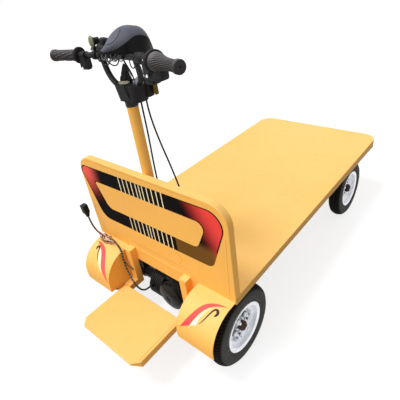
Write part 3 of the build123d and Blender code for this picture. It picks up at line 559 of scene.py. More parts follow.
def add_copies(name, grid, places, finish, body, smooth=True):
    """One closed row grid set at several places: places gives for each copy an origin and three axes as
    columns."""
    rows, columns = grid.shape[:2]
    origins = np.array([origin for origin, axes in places], float)
    turns = np.array([axes for origin, axes in places], float)
    points = np.einsum("nij,rcj->nrci", turns, grid) + origins[:, None, None]
    one = grid_quads(rows, columns, wrap_columns=True)
    step = rows * columns
    faces = (one[None] + step * np.arange(len(places))[:, None, None]).reshape(-1, 4).tolist()
    for copy in range(len(places)):
        faces.append(list(range(copy * step, copy * step + columns))[::-1])
        faces.append(list(range(copy * step + step - columns, copy * step + step)))
    return add_piece(name, points, faces, finish, body, smooth=smooth)


def tube(path, radius, sides=12, reference=(0.5, 0.8, 0.33)):
    """Rings about a path: each ring lies square to the path, with the reference made square to it as first
    axis."""
    path = np.asarray(path, float)
    along = np.gradient(path, axis=0)
    along /= np.linalg.norm(along, axis=1, keepdims=True)
    first = np.array(reference) - along * (along @ np.array(reference))[:, None]
    first /= np.linalg.norm(first, axis=1, keepdims=True)
    second = np.cross(along, first)
    angle = 2 * math.pi * np.arange(sides)[None, :, None] / sides
    ring = first[:, None] * np.cos(angle) + second[:, None] * np.sin(angle)
    return path[:, None] + ring * np.asarray(radius, float).reshape(-1, 1, 1)


def turned(profile, segments):
    """A profile of (along, radius) rows turned about the local z axis: each row becomes a ring of
    segments."""
    profile = np.asarray(profile, float)
    angle = 2 * math.pi * np.arange(segments) / segments
    along, radius = profile[:, :1], profile[:, 1:]
    return np.stack([radius * np.cos(angle), radius * np.sin(angle), along + 0 * angle], axis=-1)


def axes_along(direction, up=(0, 0, 1)):
    """Three unit axes as columns, the third along a direction and the second as near to up as it can be."""
    third = np.array(direction, float) / np.linalg.norm(direction)
    first = np.cross(up, third)
    first /= np.linalg.norm(first)
    return np.stack([first, np.cross(third, first), third], axis=1)


def soft_block(size, power=5.0, rows=14, columns=28):
    """A rounded block: a sphere whose sines and cosines are raised to two over the power, stretched to the
    size."""
    lift = np.linspace(-math.pi / 2 + 0.02, math.pi / 2 - 0.02, rows)[:, None]
    angle = 2 * math.pi * np.arange(columns)[None] / columns

    def squared(wave):
        return np.sign(wave) * np.abs(wave) ** (2 / power)

    ring = squared(np.cos(lift))
    return np.stack([size[0] / 2 * ring * squared(np.cos(angle)), size[1] / 2 * ring * squared(np.sin(angle)),
                     size[2] / 2 * squared(np.sin(lift)) + 0 * angle], axis=-1)


def add_block(name, size, place, lean=None, power=5.0, finish="plastic", body="steering"):
    """One rounded block at a place, upright or with its height along a lean."""
    axes = np.eye(3) if lean is None else axes_along(lean)
    add_copies(name, soft_block(size, power), [(place, axes)], finish, body)


def arc_through(start, middle, end, count):
    """Points on the circle through three points of a plane, from start by way of middle to end, in equal
    turns."""
    a, b, c = (np.array(point, float) for point in (start, middle, end))
    sides = np.stack([b - a, c - a])
    centre = a + np.linalg.solve(2 * sides, (sides ** 2).sum(axis=1))
    turns = [math.atan2(*(point - centre)[::-1]) for point in (a, b, c)]
    whole = (turns[2] - turns[0]) % (2 * math.pi)
    if (turns[1] - turns[0]) % (2 * math.pi) > whole:
        whole -= 2 * math.pi
    angle = turns[0] + np.linspace(0, whole, count)
    return centre + np.linalg.norm(a - centre) * np.stack([np.cos(angle), np.sin(angle)], axis=1)


def smooth_through(places, values, at):
    """A natural cubic through values at places, read at other places: its bends come from one linear
    system."""
    places, values, at = (np.asarray(row, float) for row in (places, values, at))
    step = np.diff(places)
    slope = np.diff(values, axis=0) / step.reshape(-1, *([1] * (values.ndim - 1)))
    count = len(places)
    system = np.eye(count)
    inner = np.arange(1, count - 1)
    system[inner, inner - 1] = step[:-1]
    system[inner, inner] = 2 * (step[:-1] + step[1:])
    system[inner, inner + 1] = step[1:]
    ends = 0 * values[:1]
    bend = np.linalg.solve(system, np.concatenate([ends, 6 * np.diff(slope, axis=0), ends]))
    span = np.clip(np.searchsorted(places, at) - 1, 0, count - 2)
    tail = [1] * (values.ndim - 1)
    width = step[span].reshape(-1, *tail)
    before = (at - places[span]).reshape(-1, *tail)
    after = width - before
    return (bend[span] * after ** 3 + bend[span + 1] * before ** 3) / (6 * width) \
        + (values[span] / width - bend[span] * width / 6) * after \
        + (values[span + 1] / width - bend[span + 1] * width / 6) * before


def curve_through(spots, count):
    """Points at even steps on the natural cubic through spots."""
    return smooth_through(np.arange(len(spots)), spots, np.linspace(0, len(spots) - 1, count))


def rounded_outline(corners, steps=10):
    """A closed outline with a round at each (x, z, radius) corner, as an arc that meets both sides."""
    table = np.array(corners, float)
    spot, radius = table[:, :2], table[:, 2:]
    back = np.roll(spot, 1, axis=0) - spot
    ahead = np.roll(spot, -1, axis=0) - spot
    back /= np.linalg.norm(back, axis=1, keepdims=True)
    ahead /= np.linalg.norm(ahead, axis=1, keepdims=True)
    half = np.arccos(np.clip((back * ahead).sum(axis=1, keepdims=True), -1, 1)) / 2
    middle = (back + ahead) / np.linalg.norm(back + ahead, axis=1, keepdims=True)
    centre = spot + middle * radius / np.sin(half)
    share = np.linspace(0, 1, steps)[None, :, None]
    start = spot + back * radius / np.tan(half) - centre
    end = spot + ahead * radius / np.tan(half) - centre
    whole = math.pi - 2 * half[:, None]
    swing = np.sin((1 - share) * whole) * start[:, None] + np.sin(share * whole) * end[:, None]
    swing /= np.sin(whole)
    return (centre[:, None] + swing).reshape(-1, 2)


# Panel stripes

RING_OUTER = (
    # across the panel, above the deck, corner's radius
    (-455, 391, 36),
    (457, 411, 70),
    (352, 121, 46),
    (-363, 103, 70),
)
RING_INNER = (
    (-356, 318, 12),
    (346, 333, 34),
    (282, 194, 38),
    (-290, 181, 46),
)
LINE_WIDTH = 6
LINE_OFFSETS = (-135, -106.5, -78, -49.5, -21, 0, 21, 49.5, 78, 106.5, 135)
LINE_MIDDLES = (-12, -3)
PANEL_SEAMS = {
    # places across the panel and above the deck
    "right": ((432, 300), (428, 200), (424, 100), (421, -20)),
    "lower": ((-178, 22), (-60, 23), (60, 25), (210, 27)),
    "mark": ((150, 40), (168, 62), (166, 88), (146, 104)),
    "top": ((-300, 428), (-120, 428.5), (80, 429), (290, 429)),
}
PANEL_SEAM_WIDTH = 1.6
BOARD_SEAM = ((184, -778), (184, -1004))
BOARD_SEAM_WIDTH = 2.2
BOARD_SEAM_RISE = 0.3


def on_panel(flat, rise):
    """Sets (across, above the deck) places a little off the panel's rear face."""
    depth = np.full(flat.shape[:2], PANEL_REAR - rise)
    return np.stack([flat[..., 0], depth, DECK_TOP + flat[..., 1]], axis=-1)


def add_panel_ring():
    """A flat ring between two rounded outlines, each taken corner by corner so that the corners face each
    other."""
    steps = 24
    sides = []
    for table in (RING_OUTER, RING_INNER):
        corner = rounded_outline(table, steps).reshape(4, steps, 2)
        after = np.roll(corner, -1, axis=0)
        share = np.linspace(0, 1, 60, endpoint=False)[None, 1:, None]
        straight = corner[:, -1:] * (1 - share) + after[:, :1] * share
        sides.append(np.concatenate([corner, straight], axis=1).reshape(-1, 2))
    share = np.linspace(0, 1, 13)[:, None, None]
    flat = sides[0] * (1 - share) + sides[1] * share
    add_grid("panel_ring", on_panel(flat, DECAL_RISE), "film", "chassis", wrap=True, flip=True)


def side_height(table, first, second, place):
    """Heights at places along the straight side between two corners of a ring's table."""
    start, end = table[first], table[second]
    return start[1] + (place - start[0]) * (end[1] - start[1]) / (end[0] - start[0])


def add_panel_lines():
    """Thin upright lines across the ring's upper and lower runs, each a flat strip from edge to edge."""
    upper, lower = (middle + np.array(LINE_OFFSETS) for middle in LINE_MIDDLES)
    runs = ((upper, side_height(RING_INNER, 0, 1, upper), side_height(RING_OUTER, 0, 1, upper)),
            (lower, side_height(RING_OUTER, 3, 2, lower), side_height(RING_INNER, 3, 2, lower)))
    strips = []
    for place, low, high in runs:
        left, right = place - LINE_WIDTH / 2, place + LINE_WIDTH / 2
        strips.append(np.stack([np.stack([left, low]), np.stack([right, low]),
                                np.stack([right, high]), np.stack([left, high])]).transpose(2, 0, 1))
    flat = np.concatenate(strips)
    faces = np.arange(flat.shape[0] * 4).reshape(-1, 4)
    add_piece("panel_lines", on_panel(flat, 2 * DECAL_RISE), faces, "line", "chassis", smooth=False)


def ribbon(path, width):
    """A flat strip: a path in a plane with half the width set off to each side along its normal."""
    path = np.asarray(path, float)
    along = np.gradient(path, axis=0)
    along /= np.linalg.norm(along, axis=1, keepdims=True)
    normal = np.stack([-along[:, 1], along[:, 0]], axis=1) * np.asarray(width).reshape(-1, 1) / 2
    return np.stack([path - normal, path + normal], axis=0)


def add_seams():
    """Shallow fold lines pressed into the panel and along the footboard, drawn as thin strips of painted
    shade.
    """
    for name, spots in PANEL_SEAMS.items():
        flat = ribbon(curve_through(spots, 40), PANEL_SEAM_WIDTH)
        add_grid(f"panel_seam_{name}", on_panel(flat, DECAL_RISE / 2), "fold_shade", "chassis")
    board = ribbon(np.linspace(*BOARD_SEAM, 20), BOARD_SEAM_WIDTH)
    level = np.full(board.shape[:2], FOOTBOARD_TOP + BOARD_SEAM_RISE)
    add_grid("footboard_seam", np.dstack([board, level]), "fold_shade", "chassis", flip=True)


# Fender stripes: places across the cart and down the fender's curve from its top

RED_EDGES = {
    "right": (((269, 173), (308, 98), (342, 40), (390, 11), (438, 4)),
              ((316, 143), (340, 86), (366, 44), (404, 17), (438, 4))),
    "left": (((-396, 33), (-345, 36), (-290, 68), (-252, 130), (-218, 204)),
             ((-396, 33), (-350, 52), (-306, 90), (-277, 148), (-218, 204))),
}
CREAM_EDGES = {
    "right": (((318, 143), (341, 88), (366, 48), (388, 30)),
              ((347, 126), (352, 94), (368, 58), (388, 30))),
    "left": (((-352, 53), (-309, 90), (-280, 146), (-264, 172)),
             ((-352, 53), (-326, 97), (-300, 142), (-264, 172))),
}
HOOK_LINES = {
    "right": ((357, 117), (371, 94), (382, 66), (393, 40), (406, 36), (413, 47), (406, 63)),
    "left": ((-312, 124), (-334, 96), (-343, 74), (-350, 58), (-362, 58), (-364, 76)),
}
HOOK_WIDTHS = ((0, 0.5, 0.8, 0.9, 1), (2, 8, 13, 11, 4))


def on_fender(flat, rise):
    """Rolls (across, down the curve) places onto the fender: angle is the way down over the radius."""
    angle = flat[..., 1] / FENDER_RADIUS
    radius = FENDER_RADIUS + rise
    return np.stack([flat[..., 0], FENDER_CENTRE[0] - radius * np.sin(angle),
                     FENDER_CENTRE[1] + radius * np.cos(angle)], axis=-1)


def add_fender_stripes():
    """Each stripe is a grid between two smooth edges; the hook is a strip that swells toward its curl."""
    for side in ("left", "right"):
        for kind, table in (("red", RED_EDGES), ("cream", CREAM_EDGES)):
            edges = [curve_through(edge, 50) for edge in table[side]]
            share = np.linspace(0, 1, 9)[:, None, None]
            flat = edges[0] * (1 - share) + edges[1] * share
            add_grid(f"fender_{kind}_{side}", on_fender(flat, DECAL_RISE), kind, "chassis", flip=True)
        width = np.interp(np.linspace(0, 1, 60), *HOOK_WIDTHS)
        hook = on_fender(ribbon(curve_through(HOOK_LINES[side], 60), width), 2 * DECAL_RISE)
        add_grid(f"fender_hook_{side}", hook, "ink", "chassis", flip=True)


# Wheels

TYRE = {"half": 40, "bead": 26.8, "bore": 104.2, "lip": 118, "belly": 153, "top": 188,
        "shoulder": (28.8, 179)}
PITCHES = 72
TREAD_DEPTH = 3.2
GROOVE_REACH, GROOVE_WAVE, GROOVE_HALF = 10, 1.2, 1.9
CUT_LEAN, CUT_SHIFT, CUT_HALF, CUT_START = 0.028, 0.25, 0.14, 12
RIB_CUT_HALF, RIB_REACH = 0.07, 8
RIDGES = ((128, 1.8), (168, 2.2))
RIDGE_HEIGHT = 0.9
NUT_CIRCLE = 52
WEB_OUT = 3
LOBE_HEIGHT = 10
NOSE_HEIGHT = 8


def tyre_section():
    """The tyre's closed section: bore, belly arcs and a crown arc, in (across, radius) places."""
    shoulder = TYRE["shoulder"]
    wall = arc_through((TYRE["bead"], TYRE["lip"]), (TYRE["half"], TYRE["belly"]), shoulder, 16)
    crown = arc_through(shoulder, (0, TYRE["top"]), (-shoulder[0], shoulder[1]), 29)[1:-1]
    bore = np.array([(TYRE["bead"], TYRE["bore"])])
    return np.concatenate([bore, wall, crown, wall[::-1] * (-1, 1), bore * (-1, 1)])


def add_tyre(name, side, middle, axle):
    """Turns the section about the axle. The radius drops by the tread's depth where two wavy grooves run
    round, and where slanted cuts, one a pitch, cross the shoulders; narrow cuts notch the middle rib, and two
    ridges stand on each side wall."""
    section = tyre_section()
    across, radius = section[:, 0], section[:, 1]
    steps = PITCHES * 8
    angle = 2 * math.pi * np.arange(steps)[:, None] / steps
    phase = angle * PITCHES / (2 * math.pi)
    reach = np.abs(across)
    crown = (radius > TYRE["shoulder"][1] - 6) & (reach < 37)
    round_cut = np.abs(reach - GROOVE_REACH - GROOVE_WAVE * np.sin(math.pi * phase)) < GROOVE_HALF
    lean = (phase + CUT_LEAN * across + CUT_SHIFT * (across > 0)) % 1
    cross_cut = (np.abs(lean - 0.5) < CUT_HALF) & (reach > CUT_START)
    rib_cut = (np.abs((phase + 0.5) % 1 - 0.5) < RIB_CUT_HALF) & (reach < RIB_REACH)
    depth = TREAD_DEPTH * (round_cut | cross_cut) + 0.5 * TREAD_DEPTH * rib_cut
    ridge = sum(RIDGE_HEIGHT * np.exp(-((radius - place) / width) ** 2) for place, width in RIDGES)
    turned_radius = radius - np.where(crown, depth, 0)
    spread = across + np.sign(across) * np.where(crown, 0, ridge) * (radius > TYRE["lip"])
    points = np.stack([middle + side * spread + 0 * angle, axle + turned_radius * np.cos(angle),
                       AXLE_Z + turned_radius * np.sin(angle)], axis=-1)
    rows, columns = points.shape[:2]
    u, v = np.meshgrid(np.arange(rows) / rows, np.linspace(0, 1, columns), indexing="ij")
    faces = grid_quads(rows, columns, True, True)
    if side < 0:
        faces = faces[:, ::-1]
    # the cuts' depth, which the tyre's material paints as shade in the cuts
    shade = np.where(crown, depth, 0) / TREAD_DEPTH + 0 * angle
    tyre = add_piece(f"tread_{name}", points, faces, "tyre", f"wheel_{name}", np.stack([u, v], axis=-1),
                     shade=shade)
    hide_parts(f"tyre_{name}")


# Turned profiles: place along the axis and radius
NUT_PROFILE = ((0, 11.8), (10, 11.8), (12, 9.8))
STUD_PROFILE = ((8, 6.4), (18, 6.4), (20, 4.8))
WASHER_PROFILE = ((-1, 14.8), (1.2, 14.8), (1.8, 14), (1.8, 8))
HUB_PROFILE = ((0, 22), (5, 22), (6, 20), (9, 20), (10, 22), (14, 22), (15, 20), (18, 20), (21, 18), (21, 14),
               (17, 12), (17, 8), (22, 6), (23, 4), (23, 1.5))
FRONT_HUB_PROFILE = ((0, 27), (12, 27), (16, 23), (22, 21), (24, 12), (24, 2))


def add_wheel_fittings(name, side, middle, axle):
    """Nuts and studs on a circle about the hub, each nut on a washer whose dark grey is painted shade round
    the nut, and the hub's turned cap.
    """
    outward = axes_along((side, 0, 0))
    rear = name.startswith("rear")
    lift = WEB_OUT + (LOBE_HEIGHT if rear else 0)
    angle = 2 * math.pi * np.arange(6) / 6 + (0 if rear else math.pi / 6)
    spots = np.stack([np.full(6, middle + side * lift), axle + NUT_CIRCLE * np.cos(angle),
                      AXLE_Z + NUT_CIRCLE * np.sin(angle)], axis=1)
    places = [(spot, outward) for spot in spots]
    body = f"wheel_{name}"
    # the washer under each nut is dark grey: painted shade round the nut
    for kind, profile, segments, finish in (("nuts", NUT_PROFILE, 6, "zinc"),
                                            ("studs", STUD_PROFILE, 12, "zinc"),
                                            ("shade_washers", WASHER_PROFILE, 24, "rim_shade")):
        add_copies(f"{kind}_{name}", turned(profile, segments), places, finish, body, smooth=False)
    nose = np.array((middle + side * (WEB_OUT + NOSE_HEIGHT), axle, AXLE_Z))
    profile, finish = (HUB_PROFILE, "hub_brown") if rear else (FRONT_HUB_PROFILE, "cast")
    add_copies(f"hub_{name}", turned(profile, 36), [(nose, outward)], finish, body)


# Folded edges

LIP_DEPTHS = ((-420, 0.4), (-100, 3), (300, 7), (800, 12), (960, 17), (1036, 19))
FOLD_PATH = ((164.5, -1036), (180.5, -1020), (196.5, -1004), (196.5, -1000))
FOLD_FEET = (200, 190, 178, 177)
FOLD_TOP = 202
STRIP_FACE, STRIP_BACK = 0.2, 2.6


def add_edge_strip(name, path, top, foot):
    """A thin upright strip from top to foot along a path that turns left about its piece, as one closed
    band."""
    way = np.gradient(path, axis=0)
    inward = np.stack([-way[:, 1], way[:, 0]], axis=1) / np.linalg.norm(way, axis=1)[:, None]
    outer, back = path + STRIP_FACE * inward, path + STRIP_BACK * inward
    level = np.full(len(path), float(top))
    edges = [(outer, level), (outer, foot), (back, foot), (back, level)]
    points = np.stack([np.column_stack(pair) for pair in edges], axis=1)
    add_closed(name, points, "yellow", "chassis", smooth=False)


def add_footboard_folds():
    """The footboard's side edges carried round its two rear corners, ever lower."""
    right, foot = np.array(FOLD_PATH), np.array(FOLD_FEET)
    add_edge_strip("footboard_fold_right", right, FOLD_TOP, foot)
    add_edge_strip("footboard_fold_left", right[::-1] * (-1, 1), FOLD_TOP, foot[::-1])


def add_deck_lip():
    """The folded foot of the deck's edge: a strip that runs along both sides and round the front corners,
    deeper toward the front."""
    turn = np.linspace(0, math.pi / 2, 14)[1:-1]
    side = np.linspace(LIP_DEPTHS[0][0], DECK_FRONT - DECK_CORNER, 30)
    inner = DECK_HALF - DECK_CORNER
    corner = np.stack([inner + DECK_CORNER * np.cos(turn),
                       DECK_FRONT - DECK_CORNER + DECK_CORNER * np.sin(turn)], axis=1)
    right = np.concatenate([np.stack([0 * side + DECK_HALF, side], axis=1), corner, [(inner, DECK_FRONT)]])
    path = np.concatenate([right, right[::-1] * (-1, 1)])
    table = np.array(LIP_DEPTHS, float)
    foot = DECK_FOOT - np.interp(path[:, 1], table[:, 0], table[:, 1])
    add_edge_strip("deck_lip", path, DECK_FOOT + 1, foot)


# Drive and fenders

GEAR_FINS = np.arange(-92, -18, 12)
FIN_INNER, FIN_ROOT, FIN_TOP = 60, 72.5, 76
MOTOR_END = (62, -691, 210)
MOTOR_CAP = ((0, 72), (2, 72), (4, 70), (4, 65), (6, 63), (10, 52), (12.5, 36), (13.5, 22), (13.5, 16),
             (11.5, 14), (11.5, 1))


def add_drive_details():
    """Ridges round the gear case, and on the motor's end a domed cap with a rim."""
    profile = [(GEAR_FINS[0] - 2, FIN_INNER)]
    for place in GEAR_FINS:
        profile += [(place, FIN_ROOT), (place + 1, FIN_TOP), (place + 5, FIN_TOP), (place + 6, FIN_ROOT)]
    profile.append((GEAR_FINS[-1] + 8, FIN_INNER))
    ridges = [((0, REAR_AXLE, AXLE_Z), axes_along((1, 0, 0)))]
    add_copies("gear_ridges", turned(profile, 72), ridges, "cast", "chassis", smooth=False)
    add_copies("motor_cap", turned(MOTOR_CAP, 64), [(MOTOR_END, axes_along((0, -1, 0)))], "cast", "chassis")


def add_fender_skirt():
    """A strip that carries the left fender's inner wall down past the footboard's arm."""
    add_block("fender_skirt", (3, 140, 46), (-210.5, -730, 192), power=14, finish="yellow", body="chassis")


# Handlebar group

BAR_RADIUS = 11
BAR_OUTWARD = (240, 30, 14, 5)
BAR_INWARD = (5, 14, 30)
RISERS = {
    # tube's radius, places from the bar down to the yoke
    "left": (BAR_RADIUS, ((-97, -621, 1325), (-98, -621, 1300), (-91, -621, 1272), (-78, -621, 1247),
                          (-58, -620, 1226), (-40, -612, 1208), (-30, -606, 1198))),
    "right": (BAR_RADIUS - 2, ((80, -621, 1325), (78, -615, 1306), (76, -606, 1280), (70, -600, 1256),
                               (58, -600, 1232), (44, -604, 1210), (32, -606, 1198))),
}
BAR_CLAMP = ((-6, 12), (-6, 17), (-4, 19), (20, 19.5), (44, 19), (46, 17), (46, 12))


def bar_axes(side):
    """The bar's bend on one side, and axes there with the third along the bar outward."""
    along = (side * math.cos(BAR_SWEEP), -math.sin(BAR_SWEEP), 0)
    return np.array((side * BAR_BEND[0], BAR_BEND[1], BAR_Z), float), axes_along(along)


def add_handlebar():
    """The bar as a tube with rounded bends, two bowed risers down to the yoke, two saddles and the hood's
    clamp."""
    left, left_axes = bar_axes(-1)
    right, right_axes = bar_axes(1)
    outward = np.array(BAR_OUTWARD)[:, None]
    inward = np.array(BAR_INWARD)[:, None] * (1, 0, 0)
    path = np.concatenate([left + outward * left_axes[:, 2], left + inward, right - inward[::-1],
                           right + outward[::-1] * right_axes[:, 2]])
    bar = add_closed("bent_bar", tube(path, BAR_RADIUS, 24, (0, 0, 1)), "black_steel", "steering")
    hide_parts("handlebar")
    for name, (radius, spots) in RISERS.items():
        riser = tube(curve_through(spots, 48), radius, 20, (0, 1, 0.1))
        add_closed(f"riser_{name}", riser, "black_steel", "steering")
    add_block("yoke", (96, 34, 14), (0, -606, 1192), power=10, finish="black_steel")
    saddles = [((side * 28, -619, 1328), np.eye(3)) for side in (-1, 1)]
    add_copies("saddles", soft_block((20, 40, 18), power=9), saddles, "black_steel", "steering")
    add_copies("bar_clamp", turned(BAR_CLAMP, 32), [(right, right_axes)], "plastic", "steering")


GRIPS = (
    # name, side, flange start, end, flange radius, radius at places along the bar
    ("left", -1, 104, 245, 30, ((116, 22), (150, 21.5), (185, 21), (254, 21))),
    ("right", 1, 100, 254, 37, ((116, 31), (132, 29.5), (150, 26), (168, 22), (185, 20), (254, 20))),
)
GRIP_NEAR = 116
GRIP_END = 22.5
CAP_LENGTH = 15
HOLE_RADIUS = 3.5
RIB_DEPTH = 1.8
FLANGE_SHADE, CAP_SHADE, RIB_SHADE = 0.85, 0.25, 0.75


def add_grip(name, side, start, far, flange, radii):
    """A profile turned about the bar: flange, tapered body and end cap. Its skin sinks between leaning ribs
    on the right and between rows of scales on the left, with painted shade where it sinks; the cap has a
    small hole painted dark as shade."""
    table = np.array(radii, float)
    cap = far - CAP_LENGTH
    body = np.linspace(GRIP_NEAR + 0.5, cap - 1.5, 130)
    body_radius = smooth_through(table[:, 0], table[:, 1:], body)[:, 0]
    along = np.concatenate([
        [start, start + 0.6, start + 2, GRIP_NEAR - 2, GRIP_NEAR - 0.6, GRIP_NEAR], body,
        [cap - 1, cap, far - 2.5, far - 0.8, far, far, far, far - 1.5, far - 3]])
    radius = np.concatenate([
        [flange - 2, flange - 0.6, flange, flange, flange - 0.6, flange - 3], body_radius,
        [body_radius[-1], GRIP_END, GRIP_END, GRIP_END - 0.8, GRIP_END - 2.5, 3.8, 3.2, 2.8, 2.4]])
    segments = 144
    grid = turned(np.stack([along, radius], axis=1), segments)
    angle = 2 * math.pi * np.arange(segments)[None] / segments
    way = along[:, None]
    inside = ((way > GRIP_NEAR + 6) & (way < cap - 3)).astype(float)
    if side > 0:
        inside *= np.clip((way - GRIP_NEAR - 10) / 20, 0, 1)
        relief = 2.0 * np.cos(22 * angle + 0.26 * way) + 0.9 * np.cos(5 * angle - 0.62 * way)
    else:
        relief = 1.8 * np.cos(10 * angle + 1.5 * np.sin(0.30 * way)) * np.cos(0.15 * way)
    sunk = inside * (1 - np.clip(relief, -1, 1)) / 2
    grid[..., :2] *= (1 - RIB_DEPTH * sunk / radius[:, None])[..., None]
    hole = radius[:, None] < HOLE_RADIUS
    black = np.where(way < GRIP_NEAR + 1, FLANGE_SHADE, 0.0) + np.where((way > cap) & hole, 1.0, 0.0)
    black = black + np.where((way > cap - 2) & ~hole, CAP_SHADE, 0.0)
    # shade: painted shade in the sunk grooves and the cap's hole, over the flange's own black and the cap's
    # darker tone
    shade = np.clip(sunk * RIB_SHADE + black, 0, 1)
    centre, axes = bar_axes(side)
    points = centre + grid @ axes.T
    grip = add_closed(f"moulded_grip_{name}", points, "grip", "steering", shade=shade)
    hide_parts(f"grip_{name}")


HOOD_SECTIONS = np.array((
    # place ahead of the column, half width, edge and crown above the bar, foot's half width and its place
    # above the bar
    (-77, 9, 27, 33, 6, 22),
    (-45, 28, 29, 50, 22, 17),
    (-8, 53, 46, 73, 44, 10),
    (32, 60, 60, 91, 50, -14),
    (72, 66, 52, 88, 52, -20),
    (109, 44, 23, 64, 38, -22),
    (145, 10, -15, 4, 8, -30),
), float)
HOOD_ROWS = np.linspace(HOOD_SECTIONS[0, 0], HOOD_SECTIONS[-1, 0], 90)
HOOD_WALL = 2.5
DISPLAY_AHEAD = -16
DISPLAY_HALF = (22, 37)
GROOVE_DEPTH, GROOVE_SPREAD = 1.6, 0.07
LOWER_INSET = 1.5
LENS_SPAN = (84, 134)


def hood_arch(at, share):
    """The hood's outer skin: at each place the circle through both edges and the crown, share from edge to
    edge."""
    half, edge, crown = smooth_through(HOOD_SECTIONS[:, 0], HOOD_SECTIONS[:, 1:4], at).T[..., None]
    rise = crown - edge
    radius = (half ** 2 + rise ** 2) / (2 * rise)
    turn = np.arctan2(half, radius - rise) * share
    return np.stack([radius * np.sin(turn), COLUMN_Y + at[:, None] + 0 * turn,
                     BAR_Z + crown - radius * (1 - np.cos(turn))], axis=-1)


def hood_surface(across, ahead):
    """Points of the hood's outer skin over given places across and ahead of the column."""
    at = smooth_through(HOOD_SECTIONS[:, 0], HOOD_SECTIONS[:, 1:4], ahead.ravel())
    half, edge, crown = at.T.reshape(3, *ahead.shape)
    rise = crown - edge
    radius = (half ** 2 + rise ** 2) / (2 * rise)
    drop = radius - np.sqrt(radius ** 2 - np.minimum(np.abs(across), half) ** 2)
    return np.stack([across, COLUMN_Y + ahead, BAR_Z + crown - drop], axis=-1)


def add_hood_shell():
    """The skin from the arch formula, with a groove round the oval face and walls by Solidify."""
    skin = hood_arch(HOOD_ROWS, np.linspace(-1, 1, 65)[None])
    ahead = skin[..., 1] - COLUMN_Y
    reach = np.sqrt((skin[..., 0] / DISPLAY_HALF[0]) ** 2
                    + ((ahead - DISPLAY_AHEAD) / DISPLAY_HALF[1]) ** 2)
    skin[..., 2] -= GROOVE_DEPTH * np.exp(-((reach - 1) / GROOVE_SPREAD) ** 2)
    shell = add_grid("hood_shell", skin, "hood", "steering")
    wall = shell.modifiers.new("wall", "SOLIDIFY")
    wall.thickness = HOOD_WALL * MM
    wall.offset = -1
    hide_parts("headlamp_hood")


def add_oval_face():
    """The plain oval inside the groove: rings on the skin that swell a little toward the middle."""
    turn = np.linspace(0, 2 * math.pi, 73)[None]
    spread = np.linspace(0.02, 0.93, 16)[:, None]
    ahead = DISPLAY_AHEAD + DISPLAY_HALF[1] * spread * np.sin(turn)
    oval = hood_surface(DISPLAY_HALF[0] * spread * np.cos(turn), ahead)
    oval[..., 2] += 0.2 + 0.8 * np.cos(spread * math.pi / 2) ** 0.5
    face = add_closed("oval_face", oval[:, :-1], "display", "steering", flip=True)
    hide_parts("display_face")


def add_hood_lower_body():
    """The darker body under the skin's edge: a ruled surface from the edge in to the foot."""
    half, edge, _, foot_half, foot = smooth_through(HOOD_SECTIONS[:, 0], HOOD_SECTIONS[:, 1:], HOOD_ROWS).T
    corner_x = np.stack([half - LOWER_INSET, foot_half, -foot_half, -half + LOWER_INSET], axis=1)
    corner_z = np.stack([edge + 1, foot, foot, edge + 1], axis=1)
    ring = np.linspace(0, 3, 37)
    span = np.minimum(ring.astype(int), 2)
    part = ring - span
    ring_x = corner_x[:, span] * (1 - part) + corner_x[:, span + 1] * part
    ring_z = corner_z[:, span] * (1 - part) + corner_z[:, span + 1] * part
    body = np.stack([ring_x, COLUMN_Y + HOOD_ROWS[:, None] + 0 * ring_x, BAR_Z + ring_z], axis=-1)
    add_closed("hood_lower_body", body, "lower_hood", "steering")


def add_headlamp_lens():
    """The lens on the front slope: a stretch of the arch, widest in its middle, swollen forward and up."""
    at = np.linspace(*LENS_SPAN, 24)
    share = np.linspace(-1, 1, 25)
    middle = (at - LENS_SPAN[0]) / (LENS_SPAN[1] - LENS_SPAN[0]) * 2 - 1
    round_off = np.sqrt(np.clip(1 - middle ** 2, 0, 1))[:, None]
    lens = hood_arch(at, (0.05 + 0.5 * round_off) * share[None])
    swell = round_off * np.cos(share * math.pi / 2)[None]
    lens[..., 1] += 0.5 + 5 * swell
    lens[..., 2] += 0.5 + 3 * swell
    add_grid("headlamp_lens", lens, "clear", "steering")


BELL_REACH, BELL_LIFT, BELL_TURN = 31, 47, math.radians(18)
BELL_BACK = ((-26, 9), (-25, 12.5), (-22, 13), (-8, 13), (-6, 16), (-1, 17), (0, 15))
BELL_CLAMP = ((-8, 11.3), (-8, 15.5), (-6.5, 16.5), (6.5, 16.5), (8, 15.5), (8, 11.3))
NEIGHBOUR_CHUNKS = (
    # place, lean
    ((-82, -610, 1366), (0.1, 0.2, 1)),
    ((-72, -622, 1346), (0.3, 0, 1)),
    ((-92, -614, 1348), (-0.3, 0.1, 1)),
)


